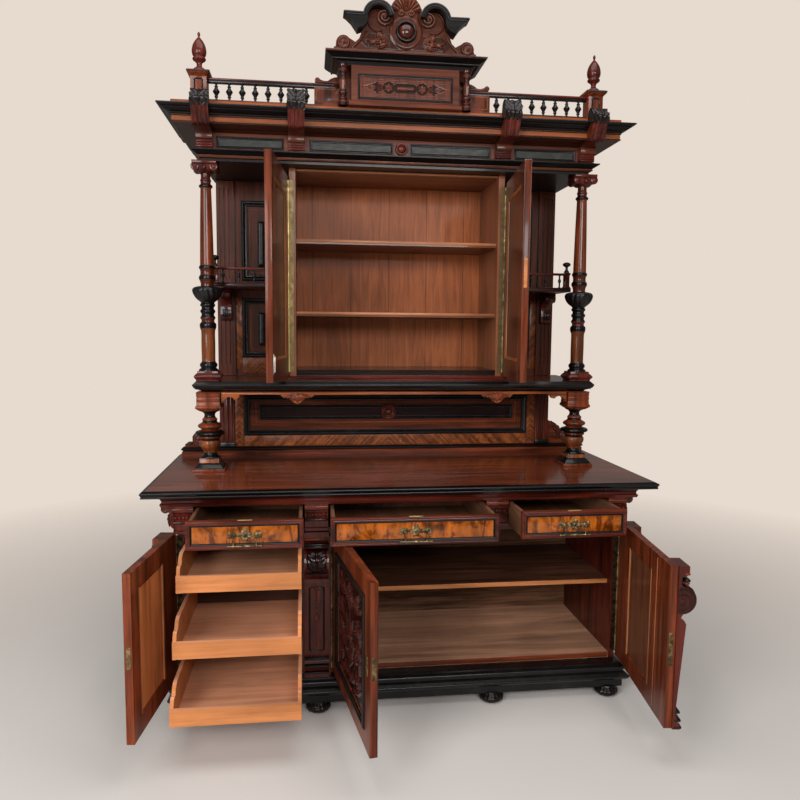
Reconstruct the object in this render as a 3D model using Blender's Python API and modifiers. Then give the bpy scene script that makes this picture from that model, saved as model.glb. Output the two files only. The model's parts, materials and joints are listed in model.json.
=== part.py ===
"""Buffet cabinet: a base with three doors, three drawers and three trays, under a hutch with a cupboard.

Metres, +Z up, front towards -Y. Sizes are set for the closed cabinet, with y = 0 at the front edge of
the base top. Doors, drawers and trays hang on empties, which hold them open.
"""

import math

import bmesh
import bpy
from mathutils import Matrix, Vector

# General fits
GAP = 0.0003                # between pieces that touch
MERGE = 0.00005             # doubles of a turned or extruded shape
PLAY = 0.003                # running room of doors and drawers
TURN_STEPS = 14             # sides of a turned piece
SPINDLE_STEPS = 6           # sides of a small spindle

# Heights of the base, from the floor up
FOOT_HEIGHT = 0.034
PLINTH_HEIGHT = 0.094
BOTTOM_THICK = 0.022
BAY_HEIGHT = 0.514
RAIL_THICK = 0.0265
DRAWER_ZONE = 0.103
TOP_MOULD_HEIGHT = 0.0485
TOP_THICK = 0.020

# Heights of the hutch, from the base top up
NICHE_HEIGHT = 0.316
SHELF_THICK = 0.044
UPPER_HEIGHT = 0.848
ARCHITRAVE_HEIGHT = 0.046
FRIEZE_HEIGHT = 0.060
CORNICE_HEIGHT = 0.090
BALUSTRADE_HEIGHT = 0.096
POST_HEIGHT = 0.116
FINIAL_HEIGHT = 0.145
PEDESTAL_HEIGHT = 0.150
PEDIMENT_CORNICE = 0.034
CREST_HEIGHT = 0.220
CREST_WIDTH = 0.552

# Widths
TOP_WIDTH = 1.900
CARCASS_WIDTH = 1.692
PLINTH_WIDTH = 1.744
SHELF_WIDTH = 1.633
CUPBOARD_WIDTH = 0.884
WING_WIDTH = 1.530
FRIEZE_WIDTH = 1.550
CORNICE_REACH = 0.134
PEDIMENT_WIDTH = 0.600
PEDESTAL_WIDTH = 0.410
SIDE_THICK = 0.024
PARTITION_THICK = 0.020
BOARD_THICK = 0.018
COLUMN_X = 0.7615
BALUSTER_X = 0.762
POST_X = 0.7685
INNER_CONSOLE_X = 0.410
CORNER_CONSOLE_X = 0.757
CONSOLE_WIDTH = 0.061
COLONNETTE_X = 0.236

# Depths, measured back from the front edge of the base top
TOP_DEPTH = 0.820
CARCASS_FRONT = 0.1135
CARCASS_BACK = 0.7985
BACK_FRONT = 0.620          # the back board is let in well behind the doors
BACK_THICK = 0.022
PLINTH_FRONT = 0.045
PLINTH_WALL = 0.060
SHELF_FRONT = 0.338
HUTCH_BACK = 0.790
NICHE_FRONT = 0.752
WING_FRONT = 0.745
COLUMN_Y = 0.3955
BALUSTER_Y = 0.405
CUPBOARD_FRONT = 0.4335
WING_SHELF_FRONT = 0.490
FRIEZE_FRONT = 0.365
PEDESTAL_FRONT = 0.250
PEDIMENT_DEPTH = 0.150
HOOD_REACH = 0.040

# Doors
DOOR_THICK = 0.025
LEFT_STILES = (0.143, 0.066)
MIDDLE_STILES = (0.070, 0.070)
RIGHT_STILES = (0.165, 0.126)
RAILS = (0.058, 0.065)       # bottom and top rail of a base door
PANEL_THICK = 0.012
PILASTER_X = 0.3403         # middle of the two inner pilasters
PILASTER_WIDTH = 0.090
POST_WIDTH = 0.1043         # the fixed post behind the left inner pilaster
HINGE_PIN = 0.0035
HINGE_LEAF = 0.0012
LEAF_WIDTH = 0.020
UPPER_STILES = (0.060, 0.060)
UPPER_RAILS = (0.075, 0.075)
MIDDLE_END = 0.2985         # free edge of the middle door
RIGHT_START = 0.3025        # free edge of the right door

# How far things stand open
LEFT_DOOR_OPEN = 97.0
MIDDLE_DOOR_OPEN = 81.0
RIGHT_DOOR_OPEN = 82.5
UPPER_LEFT_OPEN = 95.5
UPPER_RIGHT_OPEN = 83.0
DRAWER_OUT = (0.219, 0.222, 0.195)
TRAY_OUT = (0.250, 0.336, 0.407)

# Drawers and trays
DRAWER_FRONT_THICK = 0.020
DRAWER_WALL = 0.012
DRAWER_BOTTOM = 0.008
DRAWER_LENGTH = 0.500
DRAWER_FACE = 0.086         # front plane of a closed drawer
DRAWER_EDGE = 0.777         # outer end of a side drawer's front
BRACKET_WIDTH = 0.0855
BRACKET_REACH = 0.053
PULL_WIDTH = 0.112
BAIL_SPAN = 0.076
BAIL_WIDTH = 0.118
BAIL_DROP = 0.035
BAIL_WIRE = 0.0028
ROSETTE_RISE = 0.0072
TRAY_FRONT_HEIGHT = 0.058
TRAY_SIDE_HEIGHT = 0.114
TRAY_BOARD = 0.012
TRAY_LENGTH = 0.485
TRAY_PITCH = 0.191
TRAY_SIDE_ROOM = 0.011
RUNNER = 0.012
RUNNER_REACH = 0.024
BASE_SHELF_HEIGHT = 0.275   # above the bottom board
BASE_SHELF_SETBACK = 0.030

# Turned pieces
FOOT_RADIUS = 0.0465
FOOT_X = (0.802, 0.335)
FOOT_INSET = 0.030
SPINDLES = 8
SPINDLE_PITCH = 0.048
SPINDLE_START = 0.372
SPINDLE_RADIUS = 0.0135
WING_SPINDLES = 5

# Colour, roughness and metallic value of each finish
FINISHES = {
    "walnut": ((0.115, 0.034, 0.018, 1.0), 0.35, 0.0),
    "red_walnut": ((0.150, 0.045, 0.022, 1.0), 0.32, 0.0),
    "ebonised": ((0.012, 0.009, 0.008, 1.0), 0.28, 0.0),
    "burr": ((0.420, 0.130, 0.030, 1.0), 0.30, 0.0),
    "oak": ((0.420, 0.190, 0.075, 1.0), 0.50, 0.0),
    "brass": ((0.420, 0.300, 0.120, 1.0), 0.40, 1.0),
}

# Heights that follow
PLINTH_TOP = FOOT_HEIGHT + PLINTH_HEIGHT
BOTTOM_TOP = PLINTH_TOP + BOTTOM_THICK
RAIL_UNDER = BOTTOM_TOP + BAY_HEIGHT
RAIL_TOP = RAIL_UNDER + RAIL_THICK
TOP_UNDER = RAIL_TOP + DRAWER_ZONE
TOP_Z = TOP_UNDER + TOP_MOULD_HEIGHT + TOP_THICK
SHELF_UNDER = TOP_Z + NICHE_HEIGHT
SHELF_Z = SHELF_UNDER + SHELF_THICK
ARCHITRAVE_Z = SHELF_Z + UPPER_HEIGHT
FRIEZE_Z = ARCHITRAVE_Z + ARCHITRAVE_HEIGHT
CORNICE_Z = FRIEZE_Z + FRIEZE_HEIGHT
CORNICE_TOP = CORNICE_Z + CORNICE_HEIGHT
PEDESTAL_TOP = CORNICE_TOP + PEDESTAL_HEIGHT
PEDIMENT_TOP = PEDESTAL_TOP + PEDIMENT_CORNICE

# Widths and depths that follow
CARCASS_HALF = CARCASS_WIDTH / 2
INNER_HALF = CARCASS_HALF - SIDE_THICK
INNER_BACK = BACK_FRONT - GAP
DOOR_BACK = CARCASS_FRONT - HINGE_LEAF - 2 * GAP
DOOR_FRONT = DOOR_BACK - DOOR_THICK
DOOR_LOW = PLINTH_TOP + 0.014
DOOR_HIGH = RAIL_TOP - PLAY
POST_LEFT = -PILASTER_X - POST_WIDTH / 2
POST_RIGHT = -PILASTER_X + POST_WIDTH / 2
POST_BACK = CARCASS_FRONT + 0.027
PIN_X = CARCASS_HALF + HINGE_PIN + 2 * GAP
DOOR_OUTER = PIN_X - HINGE_PIN - GAP
PIN_Y = CARCASS_FRONT - GAP - HINGE_LEAF
MIDDLE_PIN_X = POST_RIGHT + HINGE_PIN + 2 * GAP
MIDDLE_START = MIDDLE_PIN_X
MIDDLE_PIN_Y = DOOR_FRONT - HINGE_PIN - GAP
CUPBOARD_HALF = CUPBOARD_WIDTH / 2
OPENING_HALF = CUPBOARD_HALF - 0.025
UPPER_PIN_X = CUPBOARD_HALF + HINGE_PIN + 2 * GAP
UPPER_OUTER = UPPER_PIN_X - HINGE_PIN - GAP
UPPER_PIN_Y = CUPBOARD_FRONT - GAP - HINGE_LEAF
UPPER_LOW = SHELF_Z + 0.020
UPPER_HIGH = ARCHITRAVE_Z - 0.036
PARTITION_LEFT = POST_LEFT + 0.0015
TRAY_LEFT = -INNER_HALF + TRAY_SIDE_ROOM
TRAY_RIGHT = POST_LEFT - 0.0015
FRIEZE_HALF = FRIEZE_WIDTH / 2
SILL_TOP = SHELF_Z + 0.042

PARTS = None
ROOT = None


def clear_scene():
    for obj in list(bpy.data.objects):
        bpy.data.objects.remove(obj, do_unlink=True)


def arc(centre, radius, start, end, count):
    """Points on a round stretch, angles in degrees."""
    points = []
    for i in range(count + 1):
        turn = math.radians(start + (end - start) * i / count)
        points.append((centre[0] + radius * math.cos(turn), centre[1] + radius * math.sin(turn)))
    return points


def shape(bm):
    """The mesh being built, as an object with its faces outward."""
    bmesh.ops.remove_doubles(bm, verts=bm.verts, dist=MERGE)
    bmesh.ops.recalc_face_normals(bm, faces=bm.faces)
    mesh = bpy.data.meshes.new("shape")
    bm.to_mesh(mesh)
    bm.free()
    obj = bpy.data.objects.new("shape", mesh)
    PARTS.objects.link(obj)
    return obj


def baked(obj, matrix):
    """An object's evaluated mesh, moved by a matrix, with the object removed."""
    graph = bpy.context.evaluated_depsgraph_get()
    mesh = bpy.data.meshes.new_from_object(obj.evaluated_get(graph))
    bm = bmesh.new()
    bm.from_mesh(mesh)
    bmesh.ops.transform(bm, matrix=matrix, verts=bm.verts)
    bpy.data.objects.remove(obj, do_unlink=True)
    bpy.data.meshes.remove(mesh)
    return shape(bm)


def fit_level(verts, xs, ys, z):
    """Four corners moved onto a rectangle at a height."""
    verts = list(verts)
    middle = sum((v.co for v in verts), Vector()) / len(verts)
    for v in verts:
        x = xs[0] if v.co.x < middle.x else xs[1]
        y = ys[0] if v.co.y < middle.y else ys[1]
        v.co = (x, y, z)


def stack(levels):
    """A moulded block: a cube whose top is extruded up through levels of (x pair, y pair, height)."""
    bm = bmesh.new()
    bmesh.ops.create_cube(bm, size=2.0)
    low = [v for v in bm.verts if v.co.z < 0]
    high = [v for v in bm.verts if v.co.z > 0]
    top = next(f for f in bm.faces if f.normal.z > 0.9)
    fit_level(low, *levels[0])
    fit_level(high, *levels[1])
    for level in levels[2:]:
        grown = bmesh.ops.extrude_face_region(bm, geom=[top])
        bmesh.ops.delete(bm, geom=[top], context="FACES_ONLY")
        top = next(f for f in grown["geom"] if isinstance(f, bmesh.types.BMFace))
        fit_level(top.verts, *level)
    return shape(bm)


def block(xs, ys, zs):
    return stack([(xs, ys, zs[0]), (xs, ys, zs[1])])


def moulded(half, front, back, profile):
    """A slab with a moulding on its front and ends; the profile is (how far out, height) from below."""
    return stack([((-half - out, half + out), (front - out, back), z) for out, z in profile])


def pedestal(x, y, profile):
    """A square stepped block round an axis; the profile is (half side, height) from below."""
    return stack([((x - r, x + r), (y - r, y + r), z) for r, z in profile])


def turned(profile, x=0.0, y=0.0, steps=TURN_STEPS):
    """A turned piece; the profile is (radius, height) from the top down."""
    mesh = bpy.data.meshes.new("profile")
    edges = [(i, i + 1) for i in range(len(profile) - 1)]
    mesh.from_pydata([(r, 0.0, z) for r, z in profile], edges, [])
    obj = bpy.data.objects.new("profile", mesh)
    PARTS.objects.link(obj)
    screw = obj.modifiers.new("Turn", "SCREW")
    screw.steps = steps
    screw.render_steps = steps
    screw.use_merge_vertices = True
    screw.merge_threshold = MERGE
    return baked(obj, Matrix.Translation((x, y, 0.0)))


def facing(profile, x, y, z, steps=TURN_STEPS):
    """A turned boss whose axis points forwards; the profile's heights count forwards from y."""
    boss = turned(profile, steps=steps)
    boss.data.transform(Matrix.Translation((x, y, z)) @ Matrix.Rotation(math.pi / 2, 4, "X"))
    return boss


def outline(points, plane, span):
    """A flat outline in the XZ or YZ plane, extruded over a span along the third axis."""
    curve = bpy.data.curves.new("outline", "CURVE")
    curve.dimensions = "2D"
    curve.fill_mode = "BOTH"
    curve.extrude = abs(span[1] - span[0]) / 2
    spline = curve.splines.new("POLY")
    spline.points.add(len(points) - 1)
    for spot, (u, v) in zip(spline.points, points):
        spot.co = (u, v, 0.0, 1.0)
    spline.use_cyclic_u = True
    obj = bpy.data.objects.new("outline", curve)
    PARTS.objects.link(obj)
    middle = (span[0] + span[1]) / 2
    if plane == "XZ":
        matrix = Matrix.Translation((0.0, middle, 0.0)) @ Matrix.Rotation(math.pi / 2, 4, "X")
    else:
        matrix = Matrix(((0, 0, 1, middle), (1, 0, 0, 0), (0, 1, 0, 0), (0, 0, 0, 1)))
    return baked(obj, matrix)


def combined(body, others, operation):
    """A Boolean of a body with other shapes, which are used up."""
    for other in others:
        boolean = body.modifiers.new("Boolean", "BOOLEAN")
        boolean.operation = operation
        boolean.solver = "EXACT"
        boolean.object = other
    graph = bpy.context.evaluated_depsgraph_get()
    mesh = bpy.data.meshes.new_from_object(body.evaluated_get(graph))
    body.modifiers.clear()
    body.data = mesh
    for other in others:
        bpy.data.objects.remove(other, do_unlink=True)
    return body


def fused(pieces):
    return combined(pieces[0], pieces[1:], "UNION")


def cut(body, cutters):
    return combined(body, cutters, "DIFFERENCE")


def finish_material(name, finish):
    colour, roughness, metallic = FINISHES[finish]
    material = bpy.data.materials.new(name)
    material.use_nodes = True
    shader = material.node_tree.nodes["Principled BSDF"]
    shader.inputs["Base Color"].default_value = colour
    shader.inputs["Roughness"].default_value = roughness
    shader.inputs["Metallic"].default_value = metallic
    return material


def carrier(name, pin, parent, turn=0.0, slide=0.0):
    """An empty on a joint's axis; it holds its pieces turned by degrees and pulled forwards."""
    empty = bpy.data.objects.new(name, None)
    PARTS.objects.link(empty)
    empty.parent = parent
    empty.location = Vector(pin) + Vector((0.0, -slide, 0.0))
    empty.rotation_euler = (0.0, 0.0, math.radians(turn))
    empty["pin"] = pin
    return empty


def part(name, body, finish, holder=None):
    """A finished sub-part: named, painted and hung on what holds it."""
    body.name = name
    body.data.name = name
    body.data.materials.clear()
    body.data.materials.append(finish_material(name, finish))
    body.data.shade_smooth()
    body.data.set_sharp_from_angle(angle=math.radians(35))
    body.parent = holder or ROOT
    pin = Vector(body.parent["pin"])
    body.matrix_parent_inverse = Matrix.Translation(-pin)
    return body


def pair(side, inner, outer):
    """An x range on one side of the middle, low first."""
    return (inner, outer) if side > 0 else (-outer, -inner)


def plinth():
    half = PLINTH_WIDTH / 2
    rise = PLINTH_HEIGHT / 94
    low = FOOT_HEIGHT
    steps = ((-12, 0), (-12, 28), (0, 33), (6, 40), (6, 51), (0, 58), (-10, 64), (-10, 70),
             (-2, 74), (0, 80), (-2, 86), (-12, 90), (-18, 94))
    profile = [(out / 1000, low + z * rise) for out, z in steps]
    frame = moulded(half, PLINTH_FRONT, CARCASS_BACK, profile)
    hole = block((-half + PLINTH_WALL, half - PLINTH_WALL),
                 (PLINTH_FRONT + PLINTH_WALL, CARCASS_BACK - PLINTH_WALL), (0.0, PLINTH_TOP + 0.02))
    frame = cut(frame, [hole])
    h, r = FOOT_HEIGHT, FOOT_RADIUS
    bun = [(0, h + 0.004), (0.62 * r, h + 0.004), (0.70 * r, 0.94 * h), (0.92 * r, 0.80 * h),
           (r, 0.55 * h), (0.94 * r, 0.28 * h), (0.74 * r, 0.0), (0, 0.0)]
    front = PLINTH_FRONT + FOOT_INSET
    back = CARCASS_BACK - 0.045
    spots = [(s * x, front) for x in FOOT_X for s in (-1, 1)] + [(s * FOOT_X[0], back) for s in (-1, 1)]
    feet = [turned(bun, x, y, 12) for x, y in spots]
    part("plinth", fused([frame] + feet), "ebonised")


def bracket_outline(back):
    """The stepped side profile of a drawer-zone bracket."""
    low = RAIL_TOP
    high = TOP_UNDER - GAP
    face = CARCASS_FRONT - BRACKET_REACH
    steps = ((8, 0.00), (8, 0.10), (14, 0.13), (14, 0.34), (9, 0.37), (9, 0.43), (18, 0.52),
             (17, 0.62), (10, 0.74), (0, 0.80), (0, 1.00))
    points = [(face + out / 1000, low + share * (high - low)) for out, share in steps]
    return [(back, low)] + points + [(back, high)]


def ear_outline(side):
    """The scrolled ear outside a base side."""
    low = RAIL_TOP + 0.0115
    rise = TOP_UNDER - GAP - low
    steps = ((0, 1.00), (44, 1.00), (48, 0.93), (45, 0.82), (34, 0.77), (26, 0.66), (17, 0.55), (15, 0.42),
             (22, 0.30), (24, 0.17), (17, 0.05), (0, 0.00))
    inner = CARCASS_HALF - 0.003
    return [(side * (inner + out / 1000), low + share * rise) for out, share in steps]


def tray_floor(index):
    """Height of a tray's underside; tray 0 is the top one."""
    lowest = BOTTOM_TOP + RUNNER + 2 * GAP
    return lowest + (len(TRAY_OUT) - 1 - index) * TRAY_PITCH


def runners(wall_x, side):
    """Cleats under the three trays, on a wall of the left bay."""
    xs = sorted((wall_x - side * 0.002, wall_x + side * RUNNER_REACH))
    ys = (CARCASS_FRONT + 0.005, INNER_BACK)
    heights = [tray_floor(i) - GAP for i in range(len(TRAY_OUT))]
    return [block(xs, ys, (z - RUNNER, z)) for z in heights]


def shelf_cleat(wall_x, side):
    xs = sorted((wall_x - side * 0.002, wall_x + side * RUNNER))
    ys = (CARCASS_FRONT + BASE_SHELF_SETBACK + 0.005, INNER_BACK)
    top = BOTTOM_TOP + BASE_SHELF_HEIGHT - GAP
    return block(xs, ys, (top - RUNNER, top))


def base_side(name, side):
    board = block(pair(side, INNER_HALF, CARCASS_HALF), (CARCASS_FRONT, CARCASS_BACK),
                  (PLINTH_TOP + GAP, TOP_UNDER - GAP))
    bracket = outline(bracket_outline(CARCASS_FRONT + 0.012), "YZ",
                      pair(side, DRAWER_EDGE + PLAY, CARCASS_HALF + 0.006))
    ear = outline(ear_outline(side), "XZ", (CARCASS_FRONT - 0.020, CARCASS_FRONT + 0.012))
    if side < 0:
        cleats = runners(-INNER_HALF, 1)
    else:
        cleats = [shelf_cleat(INNER_HALF, -1)]
    part(name, fused([board, bracket, ear] + cleats), "walnut")


def base_boards():
    inner = INNER_HALF - GAP
    bottom = block((-inner, inner), (CARCASS_FRONT, INNER_BACK), (PLINTH_TOP + GAP, BOTTOM_TOP))
    part("base_bottom", bottom, "oak")
    back = block((-inner, inner), (BACK_FRONT, BACK_FRONT + BACK_THICK),
                 (PLINTH_TOP + GAP, TOP_UNDER - GAP))
    part("base_back", back, "walnut")
    wall = (PARTITION_LEFT, PARTITION_LEFT + PARTITION_THICK)
    board = block(wall, (POST_BACK + GAP, INNER_BACK), (BOTTOM_TOP + GAP, RAIL_UNDER - GAP))
    cleats = runners(wall[0], -1) + [shelf_cleat(wall[1], 1)]
    front_cut = block((wall[0] - 0.05, wall[1] + 0.05), (0.0, POST_BACK + GAP), (0.0, RAIL_UNDER))
    part("base_divider", cut(fused([board] + cleats), [front_cut]), "oak")
    top = BOTTOM_TOP + BASE_SHELF_HEIGHT
    shelf = block((wall[1] + GAP, inner), (CARCASS_FRONT + BASE_SHELF_SETBACK, INNER_BACK),
                  (top, top + BOARD_THICK))
    part("base_shelf", shelf, "oak")


def drawer_frame():
    inner = INNER_HALF - GAP
    dust = block((-inner, inner), (CARCASS_FRONT, INNER_BACK), (RAIL_UNDER, RAIL_TOP))
    pieces = [dust]
    for side in (-1, 1):
        middle = side * PILASTER_X
        pieces.append(block((middle - 0.015, middle + 0.015), (CARCASS_FRONT, INNER_BACK),
                            (RAIL_TOP - 0.002, TOP_UNDER - GAP)))
        pieces.append(outline(bracket_outline(CARCASS_FRONT + 0.012), "YZ",
                              (middle - BRACKET_WIDTH / 2, middle + BRACKET_WIDTH / 2)))
    part("drawer_frame", fused(pieces), "walnut")


def base_top():
    half = TOP_WIDTH / 2
    low = TOP_UNDER
    slab = low + TOP_MOULD_HEIGHT
    profile = [(-0.058, low), (-0.054, low + 0.010), (-0.060, low + 0.014), (-0.060, low + 0.022),
               (-0.048, slab - 0.008), (-0.030, slab - 0.002), (-0.010, slab), (-0.002, slab + 0.003),
               (0.0, slab + 0.008), (-0.004, slab + 0.012), (-0.002, slab + 0.015), (-0.010, TOP_Z)]
    part("base_top", moulded(half, 0.0, TOP_DEPTH, profile), "red_walnut")


def pilaster_outline(back, low, high):
    """Side profile of a base pilaster: cap, scroll, tapered panel and stepped foot."""
    head = [(0.034, high), (0.034, high - 0.020), (0.028, high - 0.031), (0.011, high - 0.036),
            (0.010, high - 0.062)]
    roll = arc((0.014, high - 0.112), 0.046, 84, -84, 9)
    shaft = [(0.010, high - 0.172), (0.024, high - 0.180), (0.030, high - 0.191), (0.009, low + 0.066)]
    foot = [(0.015, low + 0.056), (0.008, low + 0.052), (0.015, low + 0.034), (0.009, low + 0.030),
            (0.024, low + 0.019), (0.024, low)]
    points = [(back - out, z) for out, z in head + roll + shaft + foot]
    return [(back, high)] + points + [(back, low)]


def fixed_pilaster():
    post = block((POST_LEFT, POST_RIGHT), (DOOR_FRONT, POST_BACK), (BOTTOM_TOP + GAP, RAIL_UNDER - GAP))
    low = PLINTH_TOP + GAP
    foot = block((POST_LEFT, POST_RIGHT), (DOOR_FRONT, CARCASS_FRONT - GAP), (low, BOTTOM_TOP + 0.002))
    profile = outline(pilaster_outline(DOOR_FRONT + 0.004, low, DOOR_HIGH), "YZ",
                      (-PILASTER_X - PILASTER_WIDTH / 2, -PILASTER_X + PILASTER_WIDTH / 2))
    part("fixed_pilaster", fused([post, foot, profile]), "red_walnut")


def door_frame(xs, ys, zs, stiles, rails):
    """Two stiles and two rails round a window; stiles are left and right, rails bottom and top."""
    body = block(xs, ys, zs)
    window = block((xs[0] + stiles[0], xs[1] - stiles[1]), (ys[0] - 0.01, ys[1] + 0.01),
                   (zs[0] + rails[0], zs[1] - rails[1]))
    return cut(body, [window])


def door_panel(xs, ys, zs, stiles, rails):
    """A panel let into a frame's window, with a raised field on its front."""
    left, right = xs[0] + stiles[0] + GAP, xs[1] - stiles[1] - GAP
    low, high = zs[0] + rails[0] + GAP, zs[1] - rails[1] - GAP
    front = ys[0] + 0.009
    back = front + PANEL_THICK
    levels = [((left, right), (low, high), -back), ((left, right), (low, high), -front),
              ((left + 0.018, right - 0.018), (low + 0.018, high - 0.018), -front),
              ((left + 0.026, right - 0.026), (low + 0.026, high - 0.026), -front + 0.005)]
    panel = stack(levels)
    panel.data.transform(Matrix.Rotation(math.pi / 2, 4, "X"))
    return panel


def hinge(pin_x, pin_y, leaf_xs, leaf_ys, zs):
    """A long hinge: its pin barrel and the leaf that is screwed to the cabinet."""
    barrel = turned([(0, zs[1]), (HINGE_PIN, zs[1]), (HINGE_PIN, zs[0]), (0, zs[0])], pin_x, pin_y, 10)
    leaf = block(leaf_xs, leaf_ys, (zs[0] + 0.001, zs[1] - 0.001))
    return fused([barrel, leaf])


def outer_pilaster(side, zs):
    outer = DOOR_OUTER
    xs = pair(side, outer - PILASTER_WIDTH, outer)
    return outline(pilaster_outline(DOOR_FRONT + 0.004, *zs), "YZ", xs)


def lower_doors():
    ys = (DOOR_FRONT, DOOR_BACK)
    zs = (DOOR_LOW, DOOR_HIGH)
    pin_zs = (DOOR_LOW + 0.012, DOOR_HIGH - 0.012)
    leaf_ys = (CARCASS_FRONT - GAP - HINGE_LEAF, CARCASS_FRONT - GAP)

    left = carrier("left_door_axis", (-PIN_X, PIN_Y, 0.0), ROOT, turn=-LEFT_DOOR_OPEN)
    xs = (-DOOR_OUTER, POST_LEFT - PLAY)
    frame = fused([door_frame(xs, ys, zs, LEFT_STILES, RAILS), outer_pilaster(-1, zs)])
    part("left_door_frame", frame, "walnut", left)
    part("left_door_panel", door_panel(xs, ys, zs, LEFT_STILES, RAILS), "walnut", left)
    part("left_door_hinge", hinge(-PIN_X, PIN_Y, (-PIN_X, -PIN_X + LEAF_WIDTH), leaf_ys, pin_zs), "brass")

    middle = carrier("middle_door_axis", (MIDDLE_PIN_X, MIDDLE_PIN_Y, 0.0), ROOT, turn=-MIDDLE_DOOR_OPEN)
    xs = (MIDDLE_START, MIDDLE_END)
    part("middle_door_frame", door_frame(xs, ys, zs, MIDDLE_STILES, RAILS), "red_walnut", middle)
    part("middle_door_panel", door_panel(xs, ys, zs, MIDDLE_STILES, RAILS), "walnut", middle)
    leaf_xs = (POST_RIGHT + GAP, POST_RIGHT + GAP + HINGE_LEAF)
    part("middle_door_hinge", hinge(MIDDLE_PIN_X, MIDDLE_PIN_Y, leaf_xs,
                                    (MIDDLE_PIN_Y - 0.001, MIDDLE_PIN_Y + LEAF_WIDTH), pin_zs), "brass")

    right = carrier("right_door_axis", (PIN_X, PIN_Y, 0.0), ROOT, turn=RIGHT_DOOR_OPEN)
    xs = (RIGHT_START, DOOR_OUTER)
    frame = fused([door_frame(xs, ys, zs, RIGHT_STILES, RAILS), outer_pilaster(1, zs)])
    part("right_door_frame", frame, "walnut", right)
    part("right_door_panel", door_panel(xs, ys, zs, RIGHT_STILES, RAILS), "walnut", right)
    astragal = outline(pilaster_outline(DOOR_FRONT - GAP, *zs), "YZ",
                       (PILASTER_X - PILASTER_WIDTH / 2, PILASTER_X + PILASTER_WIDTH / 2))
    part("right_door_pilaster", astragal, "red_walnut", right)
    part("right_door_hinge", hinge(PIN_X, PIN_Y, (PIN_X - LEAF_WIDTH, PIN_X), leaf_ys, pin_zs), "brass")


def upper_doors():
    ys = (UPPER_PIN_Y - GAP - DOOR_THICK, UPPER_PIN_Y - GAP)
    zs = (UPPER_LOW, UPPER_HIGH)
    pin_zs = (UPPER_LOW + 0.012, UPPER_HIGH - 0.012)
    leaf_ys = (CUPBOARD_FRONT - GAP - HINGE_LEAF, CUPBOARD_FRONT - GAP)
    for side, word, turn in ((-1, "left", -UPPER_LEFT_OPEN), (1, "right", UPPER_RIGHT_OPEN)):
        axis = carrier(f"upper_{word}_axis", (side * UPPER_PIN_X, UPPER_PIN_Y, 0.0), ROOT, turn=turn)
        xs = pair(side, 0.0008, UPPER_OUTER)
        panel_ys = (ys[0] + 0.007, ys[1] - 0.006)
        panel = block((xs[0] + UPPER_STILES[0] - 0.004, xs[1] - UPPER_STILES[1] + 0.004), panel_ys,
                      (zs[0] + UPPER_RAILS[0] - 0.004, zs[1] - UPPER_RAILS[1] + 0.004))
        leaf = fused([door_frame(xs, ys, zs, UPPER_STILES, UPPER_RAILS), panel])
        part(f"upper_door_{word}", leaf, "walnut", axis)
        leaf_xs = pair(side, UPPER_PIN_X - LEAF_WIDTH, UPPER_PIN_X)
        part(f"upper_door_{word}_hinge",
             hinge(side * UPPER_PIN_X, UPPER_PIN_Y, leaf_xs, leaf_ys, pin_zs), "brass")


def pull_plate(middle, z, face):
    """Back plate with a keyhole boss in the middle and a rosette behind each arm of the bail."""
    half = PULL_WIDTH / 2
    arm = BAIL_SPAN / 2
    right = [(0.0, 0.022), (0.008, 0.014), (0.016, 0.006), (arm - 0.012, 0.005), (arm - 0.004, 0.011),
             (half - 0.010, 0.006), (half, 0.0), (half - 0.010, -0.007), (arm - 0.004, -0.012),
             (arm - 0.012, -0.0045), (0.016, -0.0055), (0.008, -0.013), (0.0, -0.020)]
    left = [(-u, v) for u, v in reversed(right[1:-1])]
    points = [(middle + u, z + v) for u, v in right + left]
    plate = outline(points, "XZ", (face - 0.0030, face))
    rosette = [(0, ROSETTE_RISE), (0.0060, 0.0066), (0.0110, 0.0044), (0.0115, 0.0015), (0, 0.0015)]
    boss = [(0, 0.0062), (0.0050, 0.0056), (0.0085, 0.0020), (0, 0.0015)]
    posts = [facing(rosette, middle + s * arm, face, z, 10) for s in (-1, 1)]
    return fused([plate, facing(boss, middle, face, z, 8)] + posts)


def wire(spots, radius):
    """A round wire along a list of points."""
    curve = bpy.data.curves.new("wire", "CURVE")
    curve.dimensions = "3D"
    curve.bevel_depth = radius
    curve.bevel_resolution = 1
    curve.use_fill_caps = True
    spline = curve.splines.new("POLY")
    spline.points.add(len(spots) - 1)
    for spot, place in zip(spline.points, spots):
        spot.co = (*place, 1.0)
    obj = bpy.data.objects.new("wire", curve)
    PARTS.objects.link(obj)
    return baked(obj, Matrix.Identity(4))


def bail(middle, z, depth):
    """A drop handle: two arms and a bar that runs past them."""
    arm = BAIL_SPAN / 2
    end = BAIL_WIDTH / 2
    low = z - BAIL_DROP
    bar = wire([(middle - end, depth, low), (middle - arm, depth, low - 0.001),
                (middle + arm, depth, low - 0.001), (middle + end, depth, low)], BAIL_WIRE * 1.1)
    arms = [wire([(middle + s * arm, depth, z + 0.0005), (middle + s * arm, depth, low - 0.0005)], BAIL_WIRE)
            for s in (-1, 1)]
    return fused([bar] + arms)


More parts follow.
